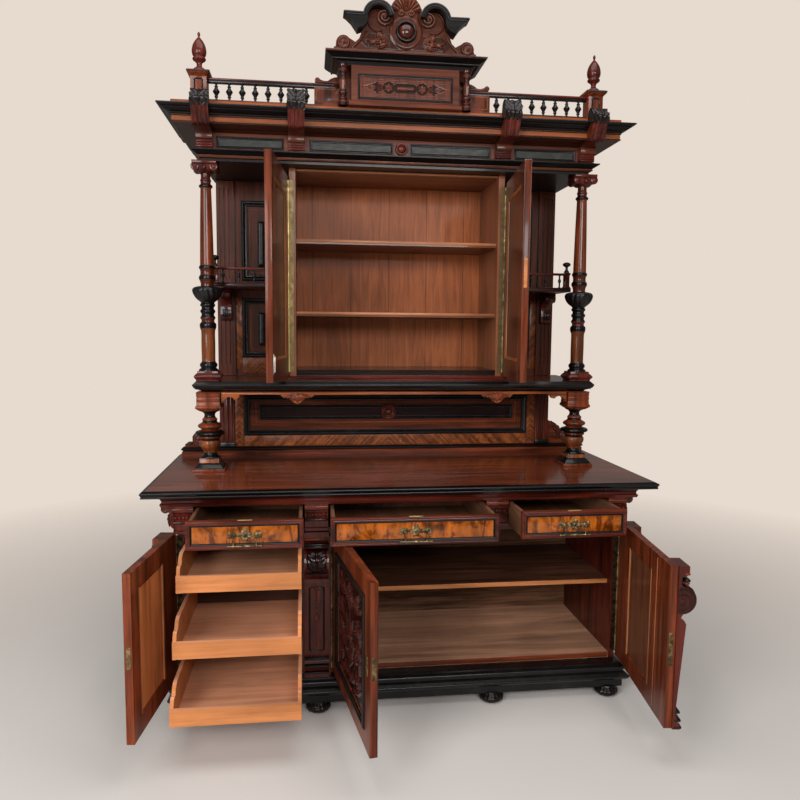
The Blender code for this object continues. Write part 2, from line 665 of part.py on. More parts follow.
def drawer(word, xs, out):
    holder = carrier(f"{word}_drawer_slide", (0.0, 0.0, 0.0), ROOT, slide=out)
    zs = (RAIL_TOP + 2 * GAP, TOP_UNDER - 0.0045)
    ys = (DRAWER_FACE, DRAWER_FACE + DRAWER_FRONT_THICK)
    front = block(xs, ys, zs)
    lip = 0.013
    field = block((xs[0] + lip, xs[1] - lip), (ys[0] - 0.01, ys[0] + 0.004), (zs[0] + lip, zs[1] - lip))
    part(f"{word}_drawer_front", cut(front, [field]), "burr", holder)
    shoulder = 0.005
    box_xs = (xs[0] + shoulder, xs[1] - shoulder)
    box_ys = (ys[1] + GAP, ys[1] + GAP + DRAWER_LENGTH)
    box_zs = (RAIL_TOP + GAP, zs[1] - 0.006)
    box = block(box_xs, box_ys, box_zs)
    hollow = block((box_xs[0] + DRAWER_WALL, box_xs[1] - DRAWER_WALL),
                   (box_ys[0] + DRAWER_WALL, box_ys[1] - DRAWER_WALL),
                   (box_zs[0] + DRAWER_BOTTOM, box_zs[1] + 0.05))
    part(f"{word}_drawer_box", cut(box, [hollow]), "oak", holder)
    middle = (xs[0] + xs[1]) / 2
    z = (zs[0] + zs[1]) / 2 - 0.002
    face = ys[0] + 0.004 - GAP
    depth = face - ROSETTE_RISE - GAP - 0.0001 - BAIL_WIRE
    part(f"{word}_drawer_pull", pull_plate(middle, z, face), "brass", holder)
    swing = carrier(f"{word}_bail_axis", (middle, depth, z), holder)
    part(f"{word}_drawer_bail", bail(middle, z, depth), "brass", swing)


def drawers():
    inner = PILASTER_X - BRACKET_WIDTH / 2 - PLAY
    outer = PILASTER_X + BRACKET_WIDTH / 2 + PLAY
    ranges = (("left", (-DRAWER_EDGE, -outer)), ("middle", (-inner, inner)), ("right", (outer, DRAWER_EDGE)))
    for (word, xs), out in zip(ranges, DRAWER_OUT):
        drawer(word, xs, out)


def tray_side(front, floor):
    """Side profile of a tray: low at the front, with a scalloped rise to the full height."""
    low = floor + TRAY_FRONT_HEIGHT
    high = floor + TRAY_SIDE_HEIGHT
    rise = high - low
    steps = ((12, 0.00), (15, 0.24), (22, 0.40), (32, 0.48), (40, 0.47), (44, 0.41), (50, 0.56), (56, 0.76),
             (68, 0.92), (86, 1.00))
    scallop = [(front + out / 1000, low + share * rise) for out, share in steps]
    back = front + TRAY_LENGTH
    return [(front, floor), (front, low)] + scallop + [(back, high), (back, floor)]


def tray(index, out):
    holder = carrier(f"tray_{index + 1}_slide", (0.0, 0.0, 0.0), ROOT, slide=out)
    floor = tray_floor(index)
    front = CARCASS_FRONT + 0.005
    back = front + TRAY_LENGTH
    xs = (TRAY_LEFT, TRAY_RIGHT)
    inner = (xs[0] + TRAY_BOARD / 2, xs[1] - TRAY_BOARD / 2)
    profile = tray_side(front, floor)
    sides = [outline(profile, "YZ", (xs[0], xs[0] + TRAY_BOARD)),
             outline(profile, "YZ", (xs[1] - TRAY_BOARD, xs[1]))]
    bottom = block(inner, (front + 0.002, back - 0.002), (floor + 0.001, floor + 0.009))
    face = block(inner, (front + 0.0005, front + TRAY_BOARD),
                 (floor + 0.0005, floor + TRAY_FRONT_HEIGHT - 0.0005))
    rear = block(inner, (back - TRAY_BOARD, back - 0.0005),
                 (floor + 0.0005, floor + TRAY_SIDE_HEIGHT - 0.0005))
    part(f"tray_{index + 1}", fused([bottom, face, rear] + sides), "oak", holder)


def niche_back():
    low = TOP_Z + GAP
    top = SHELF_UNDER - GAP
    half = WING_WIDTH / 2
    ledge = low + 0.036
    foot = moulded(half + 0.165, NICHE_FRONT - 0.018, HUTCH_BACK,
                   [(0.0, low), (0.0, ledge - 0.019), (-0.004, ledge - 0.015), (0.003, ledge - 0.010),
                    (0.003, ledge - 0.005), (-0.006, ledge)])
    board = block((-half, half), (NICHE_FRONT, HUTCH_BACK), (ledge - 0.002, top))
    scroll = [(half - 0.003, ledge - 0.002), (half + 0.160, ledge - 0.002), (half + 0.150, ledge + 0.012),
              (half + 0.128, ledge + 0.018), (half + 0.112, ledge + 0.034), (half + 0.108, ledge + 0.058),
              (half + 0.094, ledge + 0.070), (half + 0.070, ledge + 0.066), (half + 0.052, ledge + 0.074),
              (half + 0.030, ledge + 0.100), (half - 0.003, ledge + 0.112)]
    scrolls = [outline([(s * x, z) for x, z in scroll], "XZ", (NICHE_FRONT + 0.004, NICHE_FRONT + 0.026))
               for s in (-1, 1)]
    field_half = half - 0.112
    field_zs = (low + 0.091, top - 0.050)
    field = block((-field_half, field_half), (NICHE_FRONT - 0.05, NICHE_FRONT + 0.010), field_zs)
    middle = low + 0.190
    slot = block((-field_half + 0.070, field_half - 0.070), (NICHE_FRONT - 0.05, NICHE_FRONT + 0.018),
                 (middle - 0.027, middle + 0.027))
    body = cut(fused([foot, board] + scrolls), [field, slot])
    rings = [(0, 0.022), (0.010, 0.022), (0.014, 0.016), (0.022, 0.016), (0.030, 0.020), (0.036, 0.014),
             (0.036, 0.0), (0, 0.0)]
    roundel = facing(rings, 0.0, NICHE_FRONT + 0.022, middle, 20)
    part("niche_back", fused([body, roundel]), "walnut")


def baluster(name, side):
    x, y = side * BALUSTER_X, BALUSTER_Y
    low, high = TOP_Z + GAP, SHELF_UNDER - GAP
    base = pedestal(x, y, [(0.0620, low), (0.0620, low + 0.010), (0.0560, low + 0.014), (0.0430, low + 0.030),
                           (0.0385, low + 0.034), (0.0385, low + 0.052)])
    crown = pedestal(x, y, [(0.0330, high - 0.076), (0.0495, high - 0.064), (0.0495, high - 0.056),
                            (0.0455, high - 0.052), (0.0455, high - 0.004), (0.0475, high)])
    rings = ((37, 0.048), (37, 0.058), (28, 0.064), (24, 0.074), (29, 0.086), (40, 0.100), (43, 0.114),
             (41, 0.124), (34, 0.130), (44, 0.136), (44, 0.142), (58, 0.150), (58, 0.160), (40, 0.168),
             (30, 0.172), (46, 0.180), (48, 0.188), (34, 0.198), (27, 0.204), (30, 0.214), (22, 0.222),
             (20, 0.234), (27, 0.244), (40, 0.248), (40, 0.258))
    rise = (high - 0.067 - low) / rings[-1][1]
    shaft = [(r / 1000, low + z * rise) for r, z in rings]
    shaft = [(0.0, shaft[0][1])] + shaft + [(0.0, shaft[-1][1])]
    part(name, fused([turned(shaft[::-1], x, y), base, crown]), "red_walnut")


def apron_outline():
    """Front lath under the hutch shelf, with arched ends and two leaf pendants."""
    half = BALUSTER_X - 0.049
    top = SHELF_UNDER + 0.004
    lath = SHELF_UNDER - 0.012
    right = [(half, top), (half, lath - 0.030)]
    right += arc((half - 0.036, lath - 0.034), 0.028, 10, 80, 4)
    right += arc((half - 0.056, lath - 0.006), 0.012, -20, -160, 4)
    right.append((half - 0.074, lath + 0.002))
    drop = 0.412
    for u, v in ((0.068, 0.001), (0.056, -0.012), (0.042, -0.007), (0.026, -0.018), (0.014, -0.031),
                 (0.0, -0.036), (-0.014, -0.030), (-0.026, -0.017), (-0.042, -0.006), (-0.056, -0.011),
                 (-0.068, 0.0)):
        right.append((drop + u, lath + v))
    left = [(-u, v) for u, v in reversed(right)]
    return right + left


def hutch_shelf():
    half = SHELF_WIDTH / 2
    low = SHELF_UNDER
    profile = [(-0.034, low), (-0.026, low + 0.008), (-0.010, low + 0.014), (-0.002, low + 0.020),
               (0.0, low + 0.026), (0.0, low + 0.034), (-0.006, low + 0.040), (-0.010, SHELF_Z)]
    slab = moulded(half, SHELF_FRONT, HUTCH_BACK, profile)
    apron = outline(apron_outline(), "XZ", (SHELF_FRONT + 0.034, SHELF_FRONT + 0.056))
    wide = CUPBOARD_HALF + 0.008
    step = moulded(wide, CUPBOARD_FRONT - 0.032, CUPBOARD_FRONT - GAP,
                   [(0.012, SHELF_Z - 0.002), (0.012, SHELF_Z + 0.007), (0.0, SHELF_Z + 0.013),
                    (0.0, UPPER_LOW - 0.002)])
    inner = OPENING_HALF - GAP
    sill = block((-inner, inner), (CUPBOARD_FRONT - GAP / 2, HUTCH_BACK - 0.034), (SHELF_Z - 0.002, SILL_TOP))
    part("hutch_shelf", fused([slab, apron, step, sill]), "ebonised")


def column(name, side):
    x, y = side * COLUMN_X, COLUMN_Y
    low, high = SHELF_Z + GAP, ARCHITRAVE_Z - GAP
    base = pedestal(x, y, [(0.0440, low), (0.0440, low + 0.006), (0.0520, low + 0.018), (0.0440, low + 0.030),
                           (0.0400, low + 0.032), (0.0400, low + 0.040)])
    crown = pedestal(x, y, [(0.0200, high - 0.044), (0.0360, high - 0.028), (0.0400, high - 0.014),
                            (0.0460, high - 0.010), (0.0460, high)])
    scroll = [(0, 0.084), (0.013, 0.084), (0.016, 0.079), (0.016, 0.005), (0.013, 0.0), (0, 0.0)]
    scrolls = [facing(scroll, x + s * 0.035, y + 0.042, high - 0.022, 10) for s in (-1, 1)]
    lower = ((38, 0.036), (38, 0.046), (30, 0.052), (33, 0.060), (33, 0.066), (27, 0.074), (27, 0.206),
             (31, 0.212), (31, 0.228), (25, 0.234), (25, 0.246), (29, 0.250), (24, 0.258), (24, 0.270),
             (28, 0.276), (28, 0.284), (40, 0.300), (54, 0.314), (58, 0.328), (56, 0.340), (44, 0.352),
             (26, 0.358), (24, 0.372), (31, 0.378), (31, 0.388), (26, 0.394), (26, 0.416), (30, 0.420),
             (30, 0.428))
    shaft_low = low + 0.434
    neck = high - 0.098
    upper = [(0.0265, shaft_low), (0.0200, neck), (0.0260, neck + 0.004), (0.0260, neck + 0.010),
             (0.0190, neck + 0.014), (0.0180, high - 0.040)]
    profile = [(r / 1000, low + z) for r, z in lower] + upper
    profile = [(0.0, profile[0][1])] + profile + [(0.0, profile[-1][1])]
    part(name, fused([turned(profile[::-1], x, y), base, crown] + scrolls), "red_walnut")


def cupboard():
    low, high = SHELF_Z + GAP, ARCHITRAVE_Z - GAP
    back_front = HUTCH_BACK - 0.032
    for side, word in ((-1, "left"), (1, "right")):
        board = block(pair(side, OPENING_HALF, CUPBOARD_HALF), (CUPBOARD_FRONT, HUTCH_BACK - 0.002),
                      (low, high))
        part(f"cupboard_side_{word}", board, "walnut")
    inner = OPENING_HALF - GAP
    back = block((-inner, inner), (back_front, back_front + 0.016), (low, high))
    part("cupboard_back", back, "oak")
    for number, share in ((1, 0.675), (2, 0.330)):
        top = SHELF_Z + share * UPPER_HEIGHT
        shelf = block((-inner, inner), (CUPBOARD_FRONT + 0.020, back_front - GAP), (top - BOARD_THICK, top))
        part(f"cupboard_shelf_{number}", shelf, "oak")


def wing_panel(name, side):
    low, high = SHELF_Z + GAP, ARCHITRAVE_Z - GAP
    inner, outer = CUPBOARD_HALF + GAP, WING_WIDTH / 2
    flute_inner = outer - 0.076
    board = block(pair(side, inner, outer), (WING_FRONT, HUTCH_BACK - 0.004), (low, high))
    pilaster = block(pair(side, flute_inner, outer - 0.001), (WING_FRONT - 0.014, WING_FRONT + 0.004),
                     (low + 0.001, high - 0.001))
    fields = []
    for start, end in ((0.10, 0.40), (0.50, 0.90)):
        zs = (low + start * UPPER_HEIGHT, low + end * UPPER_HEIGHT)
        fields.append(block(pair(side, inner + 0.050, flute_inner - 0.034),
                            (WING_FRONT - 0.05, WING_FRONT + 0.012), zs))
    for i in range(3):
        middle = flute_inner + 0.019 + 0.019 * i
        for start, end in ((0.06, 0.34), (0.50, 0.96)):
            zs = (low + start * UPPER_HEIGHT, low + end * UPPER_HEIGHT)
            fields.append(block(pair(side, middle - 0.005, middle + 0.005),
                                (WING_FRONT - 0.05, WING_FRONT - 0.008), zs))
    body = cut(fused([board, pilaster]), fields)
    bars = []
    for start, end in ((0.16, 0.33), (0.57, 0.80)):
        middle = (inner + 0.050 + flute_inner - 0.034) / 2
        zs = (low + start * UPPER_HEIGHT, low + end * UPPER_HEIGHT)
        ys = (WING_FRONT + 0.002, WING_FRONT + 0.016)
        bars.append(block(pair(side, middle - 0.014, middle + 0.014), ys, zs))
    part(name, fused([body] + bars), "walnut")


def bead_spindle(x, y, low, high, radius, steps=SPINDLE_STEPS):
    """A thin spindle with a bead in its middle and a collar at each end."""
    rise = high - low
    rings = ((0.50, 0.00), (0.50, 0.10), (0.28, 0.16), (0.28, 0.26), (0.85, 0.42), (1.00, 0.50), (0.85, 0.58),
             (0.28, 0.74), (0.28, 0.84), (0.50, 0.90), (0.50, 1.00))
    profile = [(radius * share, low + rise * at) for share, at in rings]
    profile = [(0.0, low)] + profile + [(0.0, high)]
    return turned(profile[::-1], x, y, steps)


def wing_shelf(name, side):
    inner, outer = CUPBOARD_HALF + GAP, WING_WIDTH / 2 - 0.002
    z = SHELF_Z + 0.396
    back = WING_FRONT - 0.014 - GAP
    front = WING_SHELF_FRONT
    board = block(pair(side, inner, outer), (front, back), (z - 0.018, z))
    rail_z = z + 0.052
    rail = block(pair(side, inner, outer - 0.004), (front + 0.004, front + 0.020), (rail_z, rail_z + 0.010))
    pieces = [board, rail]
    post_x = side * (outer - 0.018)
    pieces.append(pedestal(post_x, front + 0.016, [(0.014, z - 0.002), (0.014, rail_z + 0.012)]))
    knob = [(0, 0.046), (0.012, 0.043), (0.018, 0.036), (0.014, 0.030), (0.006, 0.026), (0.006, 0.014),
            (0.011, 0.008), (0.011, -0.002), (0, -0.002)]
    pieces.append(turned([(r, rail_z + 0.012 + h) for r, h in knob], post_x, front + 0.016, 10))
    pitch = (outer - inner - 0.070) / (WING_SPINDLES - 1)
    for i in range(WING_SPINDLES):
        x = side * (inner + 0.020 + pitch * i)
        pieces.append(bead_spindle(x, front + 0.012, z - 0.002, rail_z + 0.002, 0.0080, 6))
    hook = [(back, z - 0.016), (back - 0.082, z - 0.016), (back - 0.086, z - 0.030)]
    hook += arc((back - 0.068, z - 0.040), 0.019, 150, 300, 5)
    hook += [(back - 0.038, z - 0.070), (back - 0.024, z - 0.090), (back - 0.030, z - 0.112),
             (back - 0.026, z - 0.150), (back, z - 0.152)]
    pieces.append(outline(hook, "YZ", pair(side, outer - 0.062, outer - 0.014)))
    part(name, fused(pieces), "walnut")


def frieze():
    low = ARCHITRAVE_Z
    half = FRIEZE_HALF
    k = ARCHITRAVE_HEIGHT / 54
    steps = ((0, 0), (0, 11), (10, 15), (10, 24), (26, 36), (34, 41), (34, 46), (8, 50), (0, 54))
    profile = [(out / 1000, low + z * k) for out, z in steps] + [(0.0, CORNICE_Z - GAP)]
    body = moulded(half, FRIEZE_FRONT, HUTCH_BACK, profile)
    zs = (FRIEZE_Z + 0.006, CORNICE_Z - 0.015)
    ys = (FRIEZE_FRONT - 0.05, FRIEZE_FRONT + 0.005)
    fields = []
    for side in (-1, 1):
        fields.append(block(pair(side, 0.036, INNER_CONSOLE_X - 0.052), ys, zs))
        fields.append(block(pair(side, INNER_CONSOLE_X + 0.052, POST_X - 0.056), ys, zs))
    body = cut(body, fields)
    middle = (zs[0] + zs[1]) / 2
    boss = facing([(0, 0.022), (0.012, 0.019), (0.018, 0.012), (0.024, 0.010), (0.024, 0.0), (0, 0.0)],
                  0.0, FRIEZE_FRONT + 0.004, middle, 14)
    part("frieze", fused([body, boss]), "walnut")


def console_outline(leaf):
    """Side profile of a console: fluted foot and block on the frieze, scroll and leaf over the cornice."""
    foot = FRIEZE_Z + 0.003
    low = CORNICE_Z
    reach = ((24, foot), (24, low - 0.032), (34, low - 0.030), (34, low - 0.003), (104, low + 0.001),
             (120, low + 0.006), (126, low + 0.016), (136, low + 0.040), (146, low + 0.068),
             (155, low + 0.080), (154, low + 0.092), (144, low + 0.8 * leaf), (128, low + leaf - 0.004),
             (114, low + leaf), (102, low + leaf - 0.008), (94, low + 0.094), (88, low + 0.070),
             (10, low + 0.012))
    points = [(FRIEZE_FRONT - out / 1000, z) for out, z in reach]
    return points + [(FRIEZE_FRONT - GAP, low - 0.001), (FRIEZE_FRONT - GAP, foot)]


def cornice():
    low = CORNICE_Z
    k = CORNICE_HEIGHT / 90
    steps = ((0, 0), (10, 3), (18, 9), (88, 10), (90, 11), (90, 38), (94, 41), (96, 45), (108, 47),
             (118, 54), (121, 58), (130, 60), (134, 64), (134, 70), (126, 72), (92, 73), (92, 90))
    profile = [(out / 134 * CORNICE_REACH, low + z * k) for out, z in steps]
    pieces = [moulded(FRIEZE_HALF, FRIEZE_FRONT, HUTCH_BACK, profile)]
    for x, leaf in ((CORNER_CONSOLE_X, 0.118), (INNER_CONSOLE_X, 0.134)):
        for side in (-1, 1):
            span = (side * x - CONSOLE_WIDTH / 2, side * x + CONSOLE_WIDTH / 2)
            pieces.append(outline(console_outline(leaf), "YZ", span))
    part("cornice", fused(pieces), "ebonised")


def balustrade(name, side):
    low = CORNICE_TOP + GAP
    rail = low + BALUSTRADE_HEIGHT
    y = FRIEZE_FRONT - 0.036
    inner = PEDIMENT_WIDTH / 2 + 0.012
    outer = POST_X
    bottom = block(pair(side, inner, outer), (y - 0.016, y + 0.016), (low, low + 0.018))
    top = block(pair(side, inner, outer), (y - 0.015, y + 0.015), (rail - 0.016, rail))
    end = block(pair(side, inner, inner + 0.030), (y - 0.014, y + 0.014), (low + 0.010, rail - 0.008))
    pieces = [bottom, top, end]
    for i in range(SPINDLES):
        x = side * (SPINDLE_START + SPINDLE_PITCH * i)
        if abs(x) < outer - 0.045:
            pieces.append(bead_spindle(x, y, low + 0.016, rail - 0.014, SPINDLE_RADIUS))
    post_top = low + POST_HEIGHT
    pieces.append(pedestal(side * outer, y, [(0.036, low), (0.036, low + 0.010), (0.030, low + 0.014),
                                             (0.030, post_top - 0.020), (0.036, post_top - 0.014),
                                             (0.042, post_top - 0.008), (0.042, post_top)]))
    k = FINIAL_HEIGHT / 145
    acorn = ((0, 145), (3, 144), (5, 134), (3, 128), (6, 124), (15, 112), (23, 96), (27, 78), (25, 62),
             (19, 54), (24, 50), (24, 44), (12, 36), (9, 26), (12, 18), (22, 12), (25, 4), (25, -3), (0, -3))
    pieces.append(turned([(r / 1000, post_top + z * k) for r, z in acorn], side * outer, y, 12))
    part(name, fused(pieces), "walnut")


def pediment():
    low = CORNICE_TOP + GAP
    half = PEDESTAL_WIDTH / 2
    front = PEDESTAL_FRONT
    back = front + PEDIMENT_DEPTH
    top = PEDESTAL_TOP
    body = moulded(half, front, back, [(0.010, low), (0.010, low + 0.014), (0.0, low + 0.020), (0.0, top)])
    tablet = block((-half + 0.026, half - 0.026), (front - 0.05, front + 0.006), (low + 0.028, top - 0.037))
    body = cut(body, [tablet])
    crown = moulded(PEDIMENT_WIDTH / 2 - 0.030, front - 0.020, back,
                    [(-0.020, top - 0.004), (-0.014, top + 0.008), (0.006, top + 0.012),
                     (0.020, top + 0.020), (0.030, top + 0.026), (0.030, PEDIMENT_TOP)])
    pieces = [body, crown]
    rings = ((17, 0.00), (17, 0.10), (11, 0.16), (9, 0.22), (13, 0.46), (15, 0.58), (10, 0.68), (9, 0.76),
             (15, 0.82), (15, 0.88), (18, 0.94), (18, 1.00))
    for side in (-1, 1):
        x, y = side * COLONNETTE_X, front + 0.010
        turn = [(r / 1000, low + (top + 0.002 - low) * at) for r, at in rings]
        turn = [(0.0, turn[0][1])] + turn + [(0.0, turn[-1][1])]
        pieces.append(turned(turn[::-1], x, y, 10))
        wing = [(side * (half - 0.004), low), (side * (PEDIMENT_WIDTH / 2 + 0.008), low),
                (side * (PEDIMENT_WIDTH / 2 + 0.008), low + 0.012), (side * (half + 0.070), low + 0.030),
                (side * (half + 0.052), low + 0.066), (side * (half + 0.022), low + 0.078),
                (side * (half - 0.004), low + 0.120)]
        pieces.append(outline(wing, "XZ", (front + 0.034, front + 0.060)))
    part("pediment", fused(pieces), "walnut")


def crest_outline(low):
    """Silhouette of the crest: roundels at the ends, two hooded scrolls and a shell on top."""
    k = CREST_HEIGHT / 0.210
    w = CREST_WIDTH / 0.552
    right = [(0.276, 0.0), (0.274, 0.012)]
    right += arc((0.234, 0.040), 0.028, -15, 140, 6)
    right += [(0.190, 0.046), (0.176, 0.058), (0.166, 0.084), (0.150, 0.100)]
    right += arc((0.1065, 0.122), 0.048, 4, 168, 7)
    right += [(0.056, 0.150), (0.060, 0.168), (0.051, 0.186), (0.038, 0.202), (0.018, 0.210)]
    right = [(u * w, low + v * k) for u, v in right]
    left = [(-u, v) for u, v in reversed(right)]
    return right + left


def hood_outline(side, low):
    """Hood over a scroll of the crest: a moulded wing that runs inwards and arches over."""
    k = CREST_HEIGHT / 0.210
    w = CREST_WIDTH / 0.552
    points = [(0.2355, 0.131), (0.2355, 0.135), (0.164, 0.1345)]
    points += arc((0.1065, 0.122), 0.056, 12, 172, 9)
    points += arc((0.1065, 0.122), 0.040, 172, -10, 8)
    points += [(0.150, 0.098), (0.165, 0.086), (0.184, 0.079), (0.190, 0.088), (0.207, 0.110), (0.226, 0.126)]
    return [(side * u * w, low + v * k) for u, v in points]


def crest():
    # Joined at one fixed height and then lifted to its seat, so other sizes leave the join as it is
    low = 2.4603
    front = PEDESTAL_FRONT + 0.008
    back = front + 0.052
    k = CREST_HEIGHT / 0.210
    w = CREST_WIDTH / 0.552
    body = outline(crest_outline(low), "XZ", (front, back))
    ring = [(0, 0.014), (0.012, 0.016), (0.022, 0.008), (0.027, 0.008), (0.033, 0.015), (0.038, 0.010),
            (0.040, -0.004), (0, -0.004)]
    eye = [(0, 0.026), (0.008, 0.024), (0.012, 0.016), (0.018, 0.020), (0.026, 0.014), (0.028, -0.004),
           (0, -0.004)]
    button = [(0, 0.008), (0.008, 0.006), (0.012, 0.002), (0.018, 0.006), (0.022, -0.004), (0, -0.004)]
    pieces = [body, facing(ring, 0.0, front, low + 0.0866 * k, 16)]
    for side in (-1, 1):
        pieces.append(outline(hood_outline(side, low), "XZ", (front - HOOD_REACH, front + 0.020)))
        pieces.append(facing(eye, side * 0.082 * w, front, low + 0.130 * k, 12))
        pieces.append(facing(button, side * 0.234 * w, front, low + 0.040 * k, 10))
    whole = fused(pieces)
    whole.data.transform(Matrix.Translation((0.0, 0.0, PEDIMENT_TOP + GAP - low)))
    part("crest", whole, "walnut")


def build():
    global PARTS, ROOT
    clear_scene()
    PARTS = bpy.data.collections.new("buffet_cabinet")
    bpy.context.scene.collection.children.link(PARTS)
    ROOT = bpy.data.objects.new("buffet_cabinet", None)
    PARTS.objects.link(ROOT)
    ROOT["pin"] = (0.0, 0.0, 0.0)
    swing = math.radians(MIDDLE_DOOR_OPEN)
    reach = MIDDLE_PIN_Y - (MIDDLE_END - MIDDLE_PIN_X) * math.sin(swing)
    reach += (DOOR_FRONT - MIDDLE_PIN_Y) * math.cos(swing)
    ROOT.location = (0.0, -(TOP_DEPTH + reach) / 2, 0.0)
    plinth()
    base_side("base_side_left", -1)
    base_side("base_side_right", 1)
    base_boards()
    drawer_frame()
    base_top()
    fixed_pilaster()
    lower_doors()
    drawers()
    for index, out in enumerate(TRAY_OUT):
        tray(index, out)
    niche_back()
    hutch_shelf()
    cupboard()
    upper_doors()
    for side, word in ((-1, "left"), (1, "right")):
        baluster(f"baluster_{word}", side)
        column(f"column_{word}", side)
        wing_panel(f"wing_panel_{word}", side)
        wing_shelf(f"wing_shelf_{word}", side)
        balustrade(f"balustrade_{word}", side)
    frieze()
    cornice()
    pediment()
    crest()


build()
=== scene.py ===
"""Buffet cabinet: finishes, mouldings, carving and fittings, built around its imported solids.

Metres, +Z up, front towards -Y. Pieces are modelled in the closed cabinet, with y = 0 at the front edge of
the base top, and are then carried to where their body stands open.
"""

import json
from math import cos, pi, radians, sin, sqrt

import bpy
import numpy as np
from bpy.props import FloatProperty, FloatVectorProperty, PointerProperty
from mathutils import Matrix, Vector

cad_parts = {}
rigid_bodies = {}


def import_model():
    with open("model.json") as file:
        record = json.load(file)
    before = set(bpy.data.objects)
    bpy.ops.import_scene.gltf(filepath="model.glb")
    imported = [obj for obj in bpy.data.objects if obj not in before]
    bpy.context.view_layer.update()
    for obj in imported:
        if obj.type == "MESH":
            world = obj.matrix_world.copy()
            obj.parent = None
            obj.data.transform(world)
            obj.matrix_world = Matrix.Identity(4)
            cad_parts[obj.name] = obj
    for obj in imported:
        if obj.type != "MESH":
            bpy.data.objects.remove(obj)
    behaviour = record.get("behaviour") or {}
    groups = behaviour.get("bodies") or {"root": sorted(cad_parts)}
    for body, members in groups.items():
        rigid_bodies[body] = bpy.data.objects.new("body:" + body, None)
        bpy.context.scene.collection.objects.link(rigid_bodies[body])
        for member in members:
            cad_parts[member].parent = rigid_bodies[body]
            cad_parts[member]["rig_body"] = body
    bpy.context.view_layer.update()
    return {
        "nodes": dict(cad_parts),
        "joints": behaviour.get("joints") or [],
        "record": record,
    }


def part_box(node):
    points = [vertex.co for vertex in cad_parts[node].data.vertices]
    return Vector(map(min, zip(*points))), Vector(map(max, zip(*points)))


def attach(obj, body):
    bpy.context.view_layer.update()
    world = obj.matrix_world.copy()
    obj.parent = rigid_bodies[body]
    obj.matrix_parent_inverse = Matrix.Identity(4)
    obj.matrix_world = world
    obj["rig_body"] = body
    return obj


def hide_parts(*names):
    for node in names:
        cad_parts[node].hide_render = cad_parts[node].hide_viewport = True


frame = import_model()

bl_info = {"name": "Buffet cabinet looks", "version": (1, 0, 0), "blender": (4, 5, 0),
    "location": "View3D > Sidebar > Buffet",
    "description": "Finishes and carved detail of a tall buffet cabinet", "category": "Object"}

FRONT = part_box("base_top")[0].y
JOINTS = {joint["child"]: joint for joint in frame["joints"]}
SLOTS = {sub["node"]: sub["material_slot"] for sub in frame["record"]["subparts"]}


def heights(node):
    """Lowest and highest height of a solid."""
    low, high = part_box(node)
    return low.z, high.z


# Heights, read from the solids
PLINTH_TOP, BOTTOM_TOP = heights("base_bottom")
DOOR_LOW, DOOR_HIGH = heights("left_door_frame")
DRAWER_LOW, DRAWER_HIGH = heights("left_drawer_front")
TOP_UNDER, TOP_Z = heights("base_top")
SHELF_UNDER = heights("baluster_left")[1]
SHELF_Z, ARCHITRAVE_Z = heights("column_left")
CORNICE_Z = heights("frieze")[1]
FRIEZE_Z = CORNICE_Z - 0.06
CORNICE_TOP = heights("balustrade_left")[0]
PEDIMENT_TOP = heights("pediment")[1]
ARCHITRAVE_UNIT = 0.046 / 54

# Depths behind the front edge of the base top
CARCASS_FRONT = 0.1135
DOOR_FRONT, DOOR_BACK = 0.0867, 0.1117
DRAWER_FACE = 0.086
SHELF_FRONT = 0.338
NICHE_FRONT = 0.752
WING_FRONT = 0.745
FRIEZE_FRONT = 0.365
CORNICE_FRONT = 0.231
PEDESTAL_FRONT = 0.25
CREST_FRONT = 0.258
UPPER_FRONT, UPPER_BACK = 0.4067, 0.4317

# Degrees each door stands open, and which way it turns seen from above
DOORS_OPEN = {"left_door": -97.0, "middle_door": -81.0, "right_door": 82.5, "upper_door_left": -95.5,
    "upper_door_right": 83.0}
SIDES = ((-1, "left"), (1, "right"))
MIRROR = Matrix.Scale(-1, 4, (1, 0, 0))

# Shared finishes by name, and the pieces in the order they are made
STOCK = {}
MADE = []


class FinishSettings(bpy.types.PropertyGroup):
    """Colours of the woods and metals."""

    walnut: FloatVectorProperty(name="Walnut", description="Carcass and frames", subtype="COLOR",
        default=(0.165, 0.042, 0.02))
    red: FloatVectorProperty(name="Red walnut", description="Columns, slab and pilasters", subtype="COLOR",
        default=(0.26, 0.052, 0.017))
    dark: FloatVectorProperty(name="Dark walnut", description="Brackets and base pilasters", subtype="COLOR",
        default=(0.15, 0.022, 0.012))
    amber: FloatVectorProperty(name="Amber wood", description="Laths and herringbone bands", subtype="COLOR",
        default=(0.38, 0.105, 0.033))
    ebony: FloatVectorProperty(name="Ebonised wood", description="Black mouldings", subtype="COLOR",
        default=(0.007, 0.006, 0.006))
    burr: FloatVectorProperty(name="Burr veneer", description="Drawer fronts", subtype="COLOR",
        default=(0.43, 0.108, 0.008))
    oak: FloatVectorProperty(name="Inside wood", description="Trays, shelves and drawer boxes",
        subtype="COLOR", default=(0.66, 0.245, 0.085))
    brass: FloatVectorProperty(name="Brass", description="Hinges and pulls", subtype="COLOR",
        default=(0.42, 0.3, 0.14))
    slate: FloatVectorProperty(name="Frieze panels", description="Grey-green panels of the frieze",
        subtype="COLOR", default=(0.05, 0.052, 0.046))
    gloss: FloatProperty(name="Polish", description="Weight of the polish coat", subtype="FACTOR",
        default=0.18, min=0, max=1)


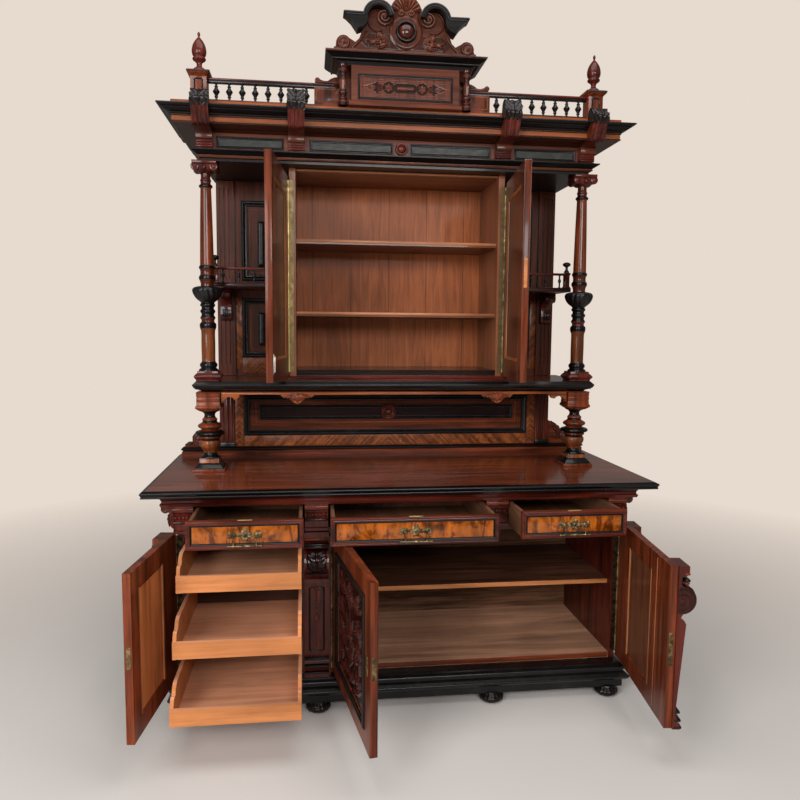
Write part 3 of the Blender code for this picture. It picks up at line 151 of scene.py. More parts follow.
class StageSettings(bpy.types.PropertyGroup):
    """Camera and light."""

    camera_x: FloatProperty(name="Camera X", description="Camera place across the front", unit="LENGTH",
        default=-0.3671)
    camera_y: FloatProperty(name="Camera distance", description="Distance in front of the base top",
        unit="LENGTH", default=2.5404)
    camera_z: FloatProperty(name="Camera height", description="Height above the floor", unit="LENGTH",
        default=1.4281)
    yaw: FloatProperty(name="Yaw", description="Turn to the right", subtype="ANGLE", default=radians(7.263))
    pitch: FloatProperty(name="Pitch", description="Tilt upwards", subtype="ANGLE", default=radians(-5.519))
    roll: FloatProperty(name="Roll", description="Turn about the line of sight", subtype="ANGLE",
        default=radians(0.4985))
    lens: FloatProperty(name="Lens", description="Focal length in millimetres", default=32.37)
    floor: FloatVectorProperty(name="Floor", description="Colour of the floor", subtype="COLOR",
        default=(0.62, 0.58, 0.55))
    wall: FloatVectorProperty(name="Background", description="Colour behind the cabinet", subtype="COLOR",
        default=(0.8, 0.7, 0.62))
    sky: FloatVectorProperty(name="Surround", description="Colour of the light all round", subtype="COLOR",
        default=(0.86, 0.82, 0.78))
    ambient: FloatProperty(name="Light all round", description="Strength of the light all round",
        default=0.24)
    key: FloatProperty(name="Key lamp", description="Power of the key lamp in watts", default=150.0)
    top: FloatProperty(name="Top lamp", description="Power of the overhead lamp in watts", default=80.0)
    fill: FloatProperty(name="Front lamp", description="Power of the front lamp in watts", default=115.0)


class Recipe:
    """A material being mixed: nodes are added and joined one by one."""

    def __init__(self, name, roughness=0.4, metallic=0.0, coat=0.0, coat_roughness=0.1, specular=0.12):
        self.material = bpy.data.materials.new(name)
        self.material.use_nodes = True
        self.tree = self.material.node_tree
        self.shader = self.tree.nodes["Principled BSDF"]
        self.fill(self.shader, {"Roughness": roughness, "Metallic": metallic, "Coat Weight": coat,
            "Coat Roughness": coat_roughness, "Specular IOR Level": specular})
        self.spot = self.node("ShaderNodeTexCoord").outputs["Object"]

    def fill(self, node, inputs):
        """Joins a socket to each input, or sets its value there."""
        for key, value in inputs.items():
            socket = node.inputs[key]
            if isinstance(value, bpy.types.NodeSocket):
                self.tree.links.new(value, socket)
            elif socket.type == "RGBA" and len(value) == 3:
                socket.default_value = (*value, 1.0)
            else:
                socket.default_value = value
        return node

    def node(self, kind, inputs=None, **settings):
        made = self.tree.nodes.new(kind)
        for key, value in settings.items():
            setattr(made, key, value)
        return self.fill(made, inputs or {})

    def mapped(self, scale, turn=(0.0, 0.0, 0.0), shift=(0.0, 0.0, 0.0)):
        inputs = {"Vector": self.spot, "Scale": scale, "Rotation": turn, "Location": shift}
        return self.node("ShaderNodeMapping", inputs).outputs["Vector"]

    def noise(self, vector, scale, detail=4.0, rough=0.55, distortion=0.0):
        inputs = {"Vector": vector, "Scale": scale, "Detail": detail, "Roughness": rough,
            "Distortion": distortion}
        return self.node("ShaderNodeTexNoise", inputs).outputs["Fac"]

    def ramp(self, factor, stops, steps="LINEAR"):
        made = self.node("ShaderNodeValToRGB", {"Fac": factor})
        made.color_ramp.interpolation = steps
        elements = made.color_ramp.elements
        while len(elements) < len(stops):
            elements.new(1.0)
        for element, (place, colour) in zip(elements, stops):
            element.position = place
            element.color = (*(colour if hasattr(colour, "__len__") else (colour,) * 3), 1.0)
        return made.outputs["Color"]

    def mix(self, factor, a, b, blend="MIX"):
        inputs = {"Factor": factor, 6: a, 7: b}
        return self.node("ShaderNodeMix", inputs, data_type="RGBA", blend_type=blend).outputs[2]

    def darken(self, a, b, share=1.0):
        return self.mix(share, a, b, "MULTIPLY")

    def math(self, operation, a, b=0.0):
        return self.node("ShaderNodeMath", {0: a, 1: b}, operation=operation).outputs[0]

    def above(self, value, limit):
        """1 where a value, or the place along a named axis, is over a limit."""
        return self.math("GREATER_THAN", self.at(value) if isinstance(value, str) else value, limit)

    def below(self, value, limit):
        return self.math("LESS_THAN", self.at(value) if isinstance(value, str) else value, limit)

    def both(self, a, b):
        return self.math("MULTIPLY", a, b)

    def either(self, a, b):
        return self.math("MAXIMUM", a, b)

    def between(self, value, low, high):
        return self.both(self.above(value, low), self.below(value, high))

    def scaled(self, value, low, high, start=0.0, end=1.0):
        inputs = {"Value": value, "From Min": start, "From Max": end, "To Min": low, "To Max": high}
        return self.node("ShaderNodeMapRange", inputs).outputs["Result"]

    def at(self, axis):
        """Place along an axis."""
        return self.node("ShaderNodeSeparateXYZ", {"Vector": self.spot}).outputs[axis]

    def wide(self):
        """Distance from the cabinet's middle."""
        return self.math("ABSOLUTE", self.at("X"))

    def facing(self, axis):
        normal = self.node("ShaderNodeNewGeometry").outputs["Normal"]
        return self.node("ShaderNodeSeparateXYZ", {"Vector": normal}).outputs[axis]

    def done(self, colour, rough, bumps, depth=0.0004, strength=0.12):
        """Sets colour, roughness and bump, and gives the material."""
        bump = self.node("ShaderNodeBump", {"Height": bumps, "Distance": depth, "Strength": strength})
        self.fill(self.shader, {"Base Color": colour, "Roughness": rough, "Normal": bump.outputs["Normal"]})
        return self.material


def tint(colour, factor=1.0):
    """A colour, or the setting of that name, made darker or lighter."""
    channels = getattr(bpy.context.scene.buffet_finish, colour) if isinstance(colour, str) else colour
    return tuple(channel * factor for channel in channels)


def bands(recipe, base, *steps):
    """Colour by height: each step is where it starts over a base, lowest first, its colour and a factor."""
    places = [base + step[0] for step in steps]
    low, high = places[0] - 0.001, places[-1] + 0.001
    stops = [((z - low) / (high - low), tint(*step[1:])) for z, step in zip(places, steps)]
    stops[0] = (0.0, stops[0][1])
    return recipe.ramp(recipe.scaled(recipe.at("Z"), 0.0, 1.0, low, high), stops, "CONSTANT")


def grain(recipe, axis, contrast, spread):
    """Grey pattern that darkens a wood's colour: broad figure, fine streaks and pores."""
    def drawn_out(across, along, *noise):
        return recipe.noise(recipe.mapped([along if way == axis else across for way in "xyz"]), 1.0, *noise)

    broad = drawn_out(16.0 * spread, 1.6 * spread, 3.0, 0.55, 1.4)
    streak = drawn_out(85.0 * spread, 2.6 * spread, 5.0, 0.65, 0.25)
    pores = drawn_out(900.0, 22.0, 2.0, 0.6)
    figure = recipe.ramp(broad, [(0.34, 1.0 - 0.72 * contrast), (0.5, 1.0 - 0.32 * contrast), (0.66, 1.0)])
    lines = recipe.ramp(streak, [(0.34, 1.0 - 0.55 * contrast), (0.6, 1.0)])
    dots = recipe.ramp(pores, [(0.36, 1.0 - 0.55 * contrast), (0.46, 1.0)])
    return recipe.darken(recipe.darken(figure, lines), dots, 0.6), streak, pores


def wood(name, tone, axis="z", rough=(0.24, 0.42), coat=None, contrast=1.0, spread=1.0):
    """A polished wood; its tone is a colour, the name of one, or a function of the recipe that gives one."""
    recipe = Recipe(name, coat=bpy.context.scene.buffet_finish.gloss if coat is None else coat)
    colour = tone(recipe) if callable(tone) else tint(tone)
    pattern, streak, pores = grain(recipe, axis, contrast, spread)
    patches = recipe.ramp(recipe.noise(recipe.spot, 3.1, 2.0), [(0.35, 1.0), (0.7, 0.72)])
    base = recipe.darken(recipe.darken(colour, pattern), patches)
    return recipe.done(base, recipe.scaled(streak, *rough), pores)


def ebonised(name):
    recipe = Recipe(name, coat=0.12, coat_roughness=0.12, specular=0.25)
    streak = recipe.noise(recipe.mapped((60.0, 60.0, 60.0)), 1.0, 4.0)
    worn = recipe.noise(recipe.spot, 11.0, 4.0, 0.6)
    tone = recipe.ramp(worn, [(0.35, tint("ebony", 0.6)), (0.6, tint("ebony")),
        (0.8, (0.032, 0.018, 0.013))])
    return recipe.done(tone, recipe.scaled(streak, 0.2, 0.4), streak)


def carved(name, colour, painted_hollow_shade, reach, rough=(0.2, 0.36), coat=0.25):
    """Carved and polished wood: painted shade darkens it towards the hollows, and the high places are
    lighter, partly worn and partly a painted highlight.
    """
    recipe = Recipe(name, coat=coat, coat_roughness=0.12)
    pattern, streak, _ = grain(recipe, "z", 0.6, 1.5)
    rise = recipe.node("ShaderNodeAttribute", attribute_name="rise").outputs["Fac"]
    # Colour by height in the relief: painted shade in the hollows, painted highlight with wear on the high
    # places.
    tone = recipe.ramp(recipe.scaled(rise, 0.0, 1.0, 0.0, reach), [(0.08, painted_hollow_shade), (0.5, tint(colour, 0.7)),
        (1.0, tint(colour, 1.15))])
    return recipe.done(recipe.darken(tone, pattern), recipe.scaled(streak, *rough), streak, 0.0005, 0.15)


def herringbone(name, colour, middle, pitch=0.0095):
    """Feather banding: fine slanting strips that mirror about the middle of a band."""
    recipe = Recipe(name, coat=0.05)
    across = recipe.math("ABSOLUTE", recipe.math("SUBTRACT", recipe.wide(), middle))
    place = recipe.math("DIVIDE", recipe.math("ADD", across, recipe.at("Z")), pitch)
    number = recipe.math("FLOOR", place)
    chance = recipe.node("ShaderNodeTexWhiteNoise", {"W": number}, noise_dimensions="1D").outputs["Value"]
    pattern, streak, _ = grain(recipe, "y", 0.7, 1.6)
    tone = recipe.ramp(chance, [(0.0, tint(colour, 0.4)), (0.5, tint(colour, 0.8)),
        (1.0, tint(colour, 1.15))])
    seam = recipe.ramp(recipe.math("FRACT", place), [(0.02, 0.25), (0.14, 1.0), (0.86, 1.0), (0.98, 0.25)])
    tone = recipe.darken(recipe.darken(tone, seam, 0.8), pattern)
    return recipe.done(tone, recipe.scaled(streak, 0.26, 0.42), seam, 0.0003, 0.15)


def burr_veneer(name, shift):
    """Figured walnut veneer: orange, with flowing dark lines and knots."""
    recipe = Recipe(name, coat=0.6)
    swirl = recipe.mapped((6.0, 6.0, 4.0), (0.0, 0.55, 0.0), (shift, 0.0, 1.7 * shift))
    lines = recipe.mapped((19.0, 8.0, 4.0), (0.0, 0.6, 0.0), (shift, 0.0, shift))
    lines = recipe.noise(lines, 1.0, 4.0, 0.6, 3.0)
    knots = recipe.mapped((9.0, 9.0, 9.0), shift=(shift, 0.0, 0.0))
    pores = recipe.noise(recipe.mapped((700.0, 700.0, 60.0)), 1.0, 2.0, 0.6)
    base = recipe.ramp(recipe.noise(swirl, 1.0, 3.0, 0.55, 2.4), [(0.34, tint("burr", 0.22)),
        (0.47, tint("burr", 0.7)), (0.6, tint("burr"))])
    streaks = recipe.ramp(lines, [(0.36, (0.22, 0.13, 0.1)), (0.46, (0.8, 0.72, 0.66)), (0.6, 1.0)])
    dark = recipe.ramp(recipe.noise(knots, 1.0, 5.0, 0.65, 2.2), [(0.38, (0.14, 0.07, 0.05)), (0.48, 1.0)])
    tone = recipe.darken(recipe.darken(base, streaks, 0.85), dark, 0.75)
    return recipe.done(tone, recipe.scaled(lines, 0.18, 0.32), pores, 0.0003, 0.1)


def aged_brass(name, colour, dirt):
    """Brass with dull brown tarnish in cloudy patches."""
    recipe = Recipe(name, metallic=0.9, specular=0.5)
    cloud = recipe.noise(recipe.spot, 55.0, 5.0, 0.65)
    fine = recipe.noise(recipe.spot, 420.0, 3.0, 0.6)
    stops = [(0.5 - 0.4 * (1.0 - dirt), tint(colour, 0.55 - 0.5 * dirt)), (0.72, tint(colour))]
    rough = recipe.ramp(cloud, [(0.35, 0.62), (0.7, 0.3)])
    return recipe.done(recipe.ramp(cloud, stops), rough, fine, 0.0003, 0.25)


def slate_panel(name):
    """Frieze wood with grey-green panels in its recesses and black mouldings below."""
    recipe = Recipe(name, coat=0.2)
    tone = bands(recipe, 0.0, (ARCHITRAVE_Z, "ebony"), (ARCHITRAVE_Z + 14 * ARCHITRAVE_UNIT, "amber"),
        (ARCHITRAVE_Z + 24 * ARCHITRAVE_UNIT, "ebony"), (FRIEZE_Z - 0.003, "walnut"))
    pattern, streak, pores = grain(recipe, "x", 0.8, 1.0)
    cloud = recipe.noise(recipe.mapped((30.0, 30.0, 60.0)), 1.0, 5.0, 0.65, 0.6)
    panel = recipe.ramp(cloud, [(0.35, tint("slate", 0.55)), (0.55, tint("slate", 0.9)),
        (0.75, tint("slate", 1.5))])
    deep = recipe.above("Y", FRIEZE_FRONT + FRONT + 0.003)
    high = recipe.above("Z", FRIEZE_Z + 0.002)
    mask = recipe.both(recipe.both(deep, high), recipe.below(recipe.facing("Y"), -0.9))
    tone = recipe.mix(mask, recipe.darken(tone, pattern), panel)
    return recipe.done(tone, recipe.scaled(streak, 0.28, 0.46), pores)


# Modelling helpers

def standing(body):
    """From the closed cabinet to where a body stands open."""
    place = Matrix.Translation((0, FRONT, 0))
    joint = JOINTS.get(body)
    if joint is None:
        return place
    if body in DOORS_OPEN:
        pin = Vector(joint["pos_m"])
        turn = Matrix.Rotation(radians(DOORS_OPEN[body]), 4, "Z")
        return Matrix.Translation(pin) @ turn @ Matrix.Translation(-pin) @ place
    if joint["type"] == "hinge":
        return standing(joint["parent"])
    return Matrix.Translation(Vector(joint["axis"]) * -joint["range_m"][0]) @ place


def begin():
    bpy.ops.object.select_all(action="DESELECT")


def points_of():
    vertices = bpy.context.object.data.vertices
    flat = np.empty(len(vertices) * 3)
    vertices.foreach_get("co", flat)
    return flat.reshape(-1, 3)


def put_points(points):
    mesh = bpy.context.object.data
    mesh.vertices.foreach_set("co", np.ascontiguousarray(points, dtype=np.float64).ravel())
    mesh.update()


def modify(kind, **settings):
    """Adds a modifier to the active object and applies it."""
    added = bpy.context.object.modifiers.new(kind.title(), kind)
    for key, value in settings.items():
        setattr(added, key, value)
    bpy.ops.object.modifier_apply(modifier=added.name)


def reshape(*steps):
    """Runs each step on the whole mesh of the active object, and turns its faces outwards."""
    bpy.ops.object.mode_set(mode="EDIT")
    for step in (*steps, bpy.ops.mesh.normals_make_consistent):
        bpy.ops.mesh.select_all(action="SELECT")
        step()
    bpy.ops.object.mode_set(mode="OBJECT")


def extrude(way):
    bpy.ops.mesh.extrude_region_move(TRANSFORM_OT_translate={"value": way})


def weld(fill=False):
    """Merges doubles of the active object, and closes its ends if asked."""
    steps = [lambda: bpy.ops.mesh.remove_doubles(threshold=0.00002)]
    reshape(*steps, *([lambda: bpy.ops.mesh.fill_holes(sides=0)] if fill else []))


def material_of(finish):
    return STOCK[finish] if isinstance(finish, str) else finish


def piece(name, finish, body="cabinet", place=Matrix(), angle=32.0):
    """Names the active object, sets it where its body stands open and ties it to that body."""
    obj = bpy.context.object
    obj.name = name
    obj.data.name = name
    obj.data.transform(standing(body) @ place @ obj.matrix_basis)
    obj.matrix_basis = Matrix()
    bpy.ops.object.shade_smooth_by_angle(angle=radians(angle))
    obj.data.materials.clear()
    obj.data.materials.append(material_of(finish))
    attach(obj, body)
    MADE.append(obj)
    return obj


def repeat(obj, name, move):
    """A copy of a finished piece, with a mesh of its own, moved or mirrored."""
    begin()
    obj.select_set(True)
    bpy.context.view_layer.objects.active = obj
    bpy.ops.object.duplicate()
    copy = bpy.context.object
    copy.name = name
    copy.data.name = name
    copy.data.transform(move)
    if move.determinant() < 0:
        copy.data.flip_normals()
    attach(copy, obj["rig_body"])
    MADE.append(copy)


def row(obj, count, step):
    """Copies a piece whose name ends in 1 along a step."""
    for i in range(1, count):
        repeat(obj, f"{obj.name[:-1]}{i + 1}", Matrix.Translation(Vector(step) * i))


def paired(make, stem=None):
    """Makes pieces of the left half, mirrors them, and lets them stand for a stem's solids."""
    start = len(MADE)
    make()
    for obj in MADE[start:]:
        repeat(obj, obj.name.replace("left", "right"), MIRROR)
    for obj in MADE[start:]:
        if stem:
            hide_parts(f"{stem}_right" if "right" in obj.name else f"{stem}_left")


def mm(pairs, base=0.0):
    """A profile in millimetres, lifted to a base."""
    return [(first / 1000, base + second / 1000) for first, second in pairs]


def stretched(pairs, low, tall):
    """A profile of radii in millimetres and shares of a height."""
    return [(radius / 1000, low + tall * share) for radius, share in pairs]


def lath(name, xs, ys, zs, finish, body="cabinet", edge=0.0015):
    """A straight strip of wood with rounded edges."""
    begin()
    bpy.ops.mesh.primitive_cube_add(size=1.0)
    low, high = np.sort(np.array([xs, ys, zs])).T
    put_points(low + (points_of() + 0.5) * (high - low))
    modify("BEVEL", width=min(edge, 0.45 * (high - low).min()), segments=2)
    return piece(name, finish, body)


def cut_board(name, points, axis, span, finish, edge=0.0015):
    """A board cut to an outline, seen along x or y, with rounded edges."""
    begin()
    bpy.ops.mesh.primitive_circle_add(vertices=len(points), fill_type="NGON")
    along = "xyz".index(axis)
    put_points(np.insert(np.array(points), along, span[0], axis=1))
    way = Vector()
    way[along] = span[1] - span[0]
    reshape(lambda: extrude(way))
    modify("BEVEL", width=edge, segments=2, limit_method="ANGLE", angle_limit=radians(50))
    return piece(name, finish)


def rectangle(xs, zs, grow=0.0):
    (x0, x1), (z0, z1) = (xs[0] - grow, xs[1] + grow), (zs[0] - grow, zs[1] + grow)
    return [(x1, z0), (x1, z1), (x0, z1), (x0, z0)]


def clipped(xs, zs, cut, inset=0.0):
    """A rectangle with its corners cut off."""
    x0, x1, z0, z1 = xs[0] + inset, xs[1] - inset, zs[0] + inset, zs[1] - inset
    return [(x1, z0 + cut), (x1, z1 - cut), (x1 - cut, z1), (x0 + cut, z1), (x0, z1 - cut), (x0, z0 + cut),
        (x0 + cut, z0), (x1 - cut, z0)]


def mitred(name, corners, y, profile, finish, body="cabinet", face=-1, place=Matrix()):
    """A mitred frame round corners listed anticlockwise; the profile holds (way in, rise) pairs."""
    begin()
    sides = len(corners)
    bpy.ops.mesh.primitive_torus_add(major_segments=sides, minor_segments=len(profile))
    corners = [Vector(corner) for corner in corners]
    points = []
    for i, corner in enumerate(corners):
        before = (corner - corners[i - 1]).normalized()
        after = (corners[(i + 1) % sides] - corner).normalized()
        inward = Vector((-before.y - after.y, before.x + after.x))
        inward /= inward.dot(Vector((-before.y, before.x)))
        for way, rise in profile:
            spot = corner + inward * way
            points.append((spot.x, y + face * rise, spot.y))
    put_points(points)
    weld()
    return piece(name, finish, body, place=place, angle=25.0)


def ovolo(width, rise, foot=-0.0015):
    """Profile of a frame moulding: a step, a rounded slope and a bead at its inner edge."""
    shares = ((0, 0.35), (0.1, 0.45), (0.14, 0.8), (0.26, 1), (0.42, 1), (0.54, 0.84), (0.66, 0.52),
        (0.76, 0.36), (0.84, 0.46), (0.94, 0.42), (1, 0.22))
    return [(0.0, foot), *((across * width, up * rise) for across, up in shares), (width, foot)]


def bead(radius, steps=8):
    """Round profile of a thin line moulding."""
    turns = [2 * pi * i / steps for i in range(steps)]
    return [(radius - radius * cos(turn), radius * sin(turn)) for turn in turns]


def grid(columns, rows):
    """A new grid; gives the shares across and along it of its points."""
    begin()
    bpy.ops.mesh.primitive_grid_add(x_subdivisions=columns, y_subdivisions=rows, size=2.0)
    return (points_of()[:, :2].T + 1) / 2


def sheet(columns, rows, place, fill=False):
    """A grid bent to shape: place gives points for shares across and along it."""
    put_points(place(*grid(columns, rows)))
    weld(fill)


def shell_of(columns, rows, place):
    """A bent grid made 3 mm thick."""
    sheet(columns, rows, place)
    modify("SOLIDIFY", thickness=0.003, offset=-1.0)
    weld()


def picked(table, share):
    """Rows of a table for shares of its length."""
    return np.array(table)[np.rint(share * (len(table) - 1)).astype(int)]


def smoothed(points, rounds):
    """A profile with its corners cut round, its ends kept."""
    points = np.array(points, dtype=float)
    for _ in range(rounds):
        head, tail = points[:-1], points[1:]
        inner = np.stack([0.75 * head + 0.25 * tail, 0.25 * head + 0.75 * tail], axis=1).reshape(-1, 2)
        points = np.vstack([points[:1], inner[1:-1], points[-1:]])
    return points


def turned(name, profile, centre, finish, body="cabinet", steps=40, lobes=None, rounds=2, axis="z"):
    """A turned piece: (radius, place) pairs spun about an axis, forwards for y; lobes changes its radius."""
    shape = smoothed(profile, rounds)
    shape = np.vstack([[0.0, shape[0][1]], shape, [0.0, shape[-1][1]]])

    def spin(across, along):
        radius, way = picked(shape, along).T
        angle = 2 * pi * across
        if lobes:
            radius = radius * lobes(angle, way)
        first, second = radius * np.cos(angle), radius * np.sin(angle)
        ways = {"x": (way, first, second), "y": (first, -way, second), "z": (first, second, way)}[axis]
        return np.stack(ways, axis=1) + (*centre, 0.0)[:3]

    sheet(steps, len(shape) - 1, spin)
    return piece(name, finish, body, angle=40.0)


def square_stack(name, centre, levels, finish):
    """A square block that steps in and out: (half width, height) pairs from the bottom up."""
    shape = [(0.0, levels[0][1]), *levels, (0.0, levels[-1][1])]

    def box(across, along):
        half, height = picked(shape, along).T
        angle = 2 * pi * across + pi / 4
        radius = half * sqrt(2)
        return np.stack([radius * np.cos(angle), radius * np.sin(angle), height], axis=1) + (*centre, 0.0)

    sheet(4, len(shape) - 1, box)
    modify("BEVEL", width=0.001, segments=2, limit_method="ANGLE")
    return piece(name, finish, angle=30.0)


def moulding_run(name, half, front, back, profile, finish, slot=None):
    """A moulding along the front and both ends; the profile holds (way out, height) pairs."""
    loop = [*profile, profile[0]]
    path = [(-half, back, -1, 0), (-half, front, -1, -1), (half, front, 1, -1), (half, back, 1, 0)]

    def follow(across, along):
        x, y, way_x, way_y = picked(path, across).T
        out, height = picked(loop, along).T
        return np.stack([x + way_x * out, y + way_y * out, height], axis=1)

    sheet(3, len(loop) - 1, follow, fill=True)
    return piece(name, finish, angle=30.0)


def half_round(way, low, high, depth, steps=8):
    """Section of a half-round moulding that stands out from a face."""
    middle, radius = (low + high) / 2, (high - low) / 2
    turns = [pi * (i / steps - 0.5) for i in range(steps + 1)]
    arc = [(way + depth * cos(turn), middle + radius * sin(turn)) for turn in turns]
    return [(way - 0.003, low), *arc, (way - 0.003, high)]


def bead_runs(stem, half, front, back, base, depth, rows):
    """Black half-round mouldings: rows of way out, low and high over a base height."""
    for number, (out, low, high) in enumerate(rows, 1):
        section = half_round(out, base + low, base + high, depth)
        moulding_run(f"{stem}_{number}", half, front, back, section, "black")


# Carving: each function gives a height over a face, from across and up coordinates

def rounded(far):
    """Round rise from an edge, where far is 1, to a middle, where it is 0."""
    return np.sqrt(np.clip(1 - far ** 2, 0, 1))


def dome(u, v, centre, radius, height, tall=1.0):
    return height * rounded(np.hypot((u - centre[0]) / radius, (v - centre[1]) / (radius * tall)))


def ring(u, v, centre, radius, width, height):
    return height * rounded((np.hypot(u - centre[0], v - centre[1]) - radius) / (width / 2))


def ridge(u, v, start, end, width, height):
    """A rounded rib between two points."""
    run = np.array(end) - np.array(start)
    share = np.clip(((u - start[0]) * run[0] + (v - start[1]) * run[1]) / (run @ run), 0, 1)
    return height * rounded(np.hypot(u - start[0] - share * run[0],
        v - start[1] - share * run[1]) / (width / 2))


def plateau(inside, edge, height):
    """A flat raised field: inside is the distance within its edge."""
    return height * np.clip(inside / edge, 0, 1) ** 0.5


def boxed(u, v, xs, zs):
    """Distance within the edge of a rectangle."""
    return np.minimum(np.minimum(u - xs[0], xs[1] - u), np.minimum(v - zs[0], zs[1] - v))


def leaf(u, v, base, angle, length, width, height, lobes=4):
    """A carved leaf with a sunk rib, side veins and a lobed edge."""
    turn = radians(angle)
    along = ((u - base[0]) * cos(turn) + (v - base[1]) * sin(turn)) / length
    across = (-(u - base[0]) * sin(turn) + (v - base[1]) * cos(turn))
    inside = np.clip(along, 0, 1)
    edge = width * np.sin(pi * inside ** 0.75) * (0.8 + 0.2 * np.abs(np.cos(lobes * pi * inside)))
    share = np.abs(across) / np.maximum(edge, 1e-6)
    body = rounded(share) * (0.45 + 0.55 * np.sin(pi * inside))
    rib = 1 - 0.45 * np.exp(-(across / (0.1 * width)) ** 2)
    vein = 1 - 0.22 * np.cos(2 * pi * (lobes * inside - 1.4 * share)) ** 6
    return np.where((along > 0) & (along < 1), height * body * rib * vein, 0.0)


def volute(u, v, centre, radius, height, side, turns=2.4):
    """A spiral scroll that winds in to an eye."""
    far = np.hypot(u - centre[0], v - centre[1])
    angle = np.arctan2(v - centre[1], side * (u - centre[0])) / (2 * pi)
    band = (far / radius * turns - angle) % 1.0
    rib = 0.45 + 0.55 * rounded(2 * band - 1)
    body = height * rib * (1.15 - 0.45 * far / radius) * (far < radius)
    return np.maximum(body, dome(u, v, centre, radius * 0.26, height * 1.35))


def shell(u, v, centre, radius, height, flutes=9, spread=150.0):
    """A fan of flutes that opens upwards."""
    far = np.hypot(u - centre[0], v - centre[1]) / radius
    angle = np.degrees(np.arctan2(u - centre[0], v - centre[1]))
    share = angle / spread * flutes
    fan = (np.abs(angle) < spread / 2 + 4) & (far < 1.0 - 0.1 * np.abs(np.sin(pi * share)))
    rib = 0.4 + 0.6 * np.abs(np.cos(pi * share)) ** 0.8
    return np.where(fan, height * rib * np.clip(far * 1.6, 0, 1) ** 0.6, 0.0)


def highest(*rises):
    return np.maximum.reduce(rises)


def each(carve, u, v, rows, *more):
    """The highest of one carving function over rows of its values."""
    return highest(*[carve(u, v, *row, *more) for row in rows])


def relief(name, xs, zs, y, cell, height, finish, body="cabinet", slot=None, sink=0.0008, depth=0.003,
        place=Matrix()):
    """Carving on a flat face: a fine grid raised by a height function, cut to its outline, with a back."""
    across, along = grid(*(max(4, round((span[1] - span[0]) / cell)) for span in (xs, zs)))
    u = xs[0] + across * (xs[1] - xs[0])
    v = zs[0] + along * (zs[1] - zs[0])
    rise = height(u, v)
    put_points(np.stack([u, y + sink - rise, v], axis=1))
    mesh = bpy.context.object.data
    mesh.attributes.new("rise", "FLOAT", "POINT").data.foreach_set("value", rise)
    corners = np.empty(len(mesh.loops), dtype=int)
    mesh.loops.foreach_get("vertex_index", corners)
    bare = rise[corners.reshape(-1, 4)].max(axis=1) <= 0
    for part, picks in ((mesh.vertices, False), (mesh.edges, False), (mesh.polygons, bare)):
        part.foreach_set("select", np.zeros(len(part), dtype=bool) | picks)
    bpy.context.tool_settings.mesh_select_mode = (False, False, True)
    if bare.any():
        bpy.ops.object.mode_set(mode="EDIT")
        bpy.ops.mesh.delete(type="FACE")
        bpy.ops.object.mode_set(mode="OBJECT")
    reshape(lambda: extrude((0.0, depth, 0.0)))
    return piece(name, finish, body, place, angle=60.0)


def dress(finish, *nodes):
    for name in nodes:
        slots = frame["nodes"][name].data.materials
        slots.clear()
        slots.append(material_of(finish))


# Tones: colours by place, for solids of more than one finish; some also hold painted light and shade, marked
# where it is

def slab_tone(recipe):
    rim = recipe.either(recipe.below("Y", FRONT + 0.014), recipe.above(recipe.wide(), 0.936))
    edge = recipe.either(rim, recipe.below(recipe.facing("Z"), 0.6))
    tone = bands(recipe, 0.0, (TOP_UNDER, "dark"), (TOP_Z - 0.026, "red"))
    return recipe.mix(recipe.both(edge, recipe.above("Z", TOP_Z - 0.026)), tone, tint("ebony"))


def shelf_tone(recipe):
    tone = bands(recipe, 0.0, (SHELF_UNDER - 0.06, "amber"), (SHELF_UNDER + 0.001, "ebony"),
        (SHELF_Z + 0.002, "dark"), (SHELF_Z + 0.021, (0.03, 0.016, 0.012)))
    level = recipe.between("Z", SHELF_Z - 0.004, SHELF_Z + 0.002)
    return recipe.mix(recipe.both(recipe.above(recipe.facing("Z"), 0.9), level), tone, tint("red", 0.75))


def cornice_tone(recipe):
    tone = bands(recipe, CORNICE_Z, (-0.01, "walnut", 0.4), (0.0105, "amber"), (0.0385, "ebony"),
        (0.0725, "amber"))
    across = recipe.wide()
    consoles = recipe.either(recipe.between(across, 0.7264, 0.7876), recipe.between(across, 0.3794, 0.4406))
    out = recipe.below("Y", FRONT + FRIEZE_FRONT - 0.0002)
    ahead = recipe.below("Y", FRONT + CORNICE_FRONT + 0.039)
    low = recipe.below("Z", CORNICE_Z + 0.0005)
    mask = recipe.both(consoles, recipe.either(recipe.both(out, low), ahead))
    return recipe.mix(mask, tone, bands(recipe, CORNICE_Z, (-0.06, "dark"), (-0.031, "walnut"),
        (-0.002, "dark", 0.8), (0.01, "red", 0.6), (0.072, "ebony")))


def pediment_tone(recipe):
    tone = bands(recipe, 0.0, (CORNICE_TOP, "red", 0.7), (CORNICE_TOP + 0.02, "walnut"),
        (PEDIMENT_TOP - 0.038, "ebony"), (PEDIMENT_TOP - 0.007, "walnut"))
    # Painted shade: the floor of the tablet's recess, seen between the carving, is near black, for the shade
    # in its deep grooves.
    field = recipe.both(recipe.below(recipe.wide(), 0.177), recipe.between("Z", 2.293, 2.38))
    front = FRONT + PEDESTAL_FRONT
    deep = recipe.between("Y", front + 0.004, front + 0.02)
    return recipe.mix(recipe.both(field, deep), tone, tint("walnut", 0.05))


def crest_tone(recipe):
    hood = recipe.below("Y", FRONT + CREST_FRONT - 0.0005)
    tone = bands(recipe, PEDIMENT_TOP, (0.0, "red", 0.7), (0.026, "walnut", 0.6))
    return recipe.mix(hood, tone, (0.01, 0.008, 0.007))


def niche_tone(recipe):
    tone = bands(recipe, TOP_Z, (0.0, "red"), (0.0205, "ebony"), (0.0365, "red", 0.75))
    deep = recipe.above("Y", FRONT + NICHE_FRONT + 0.0145)
    return recipe.mix(recipe.both(deep, recipe.below(recipe.wide(), 0.6)), tone, (0.03, 0.005, 0.003))


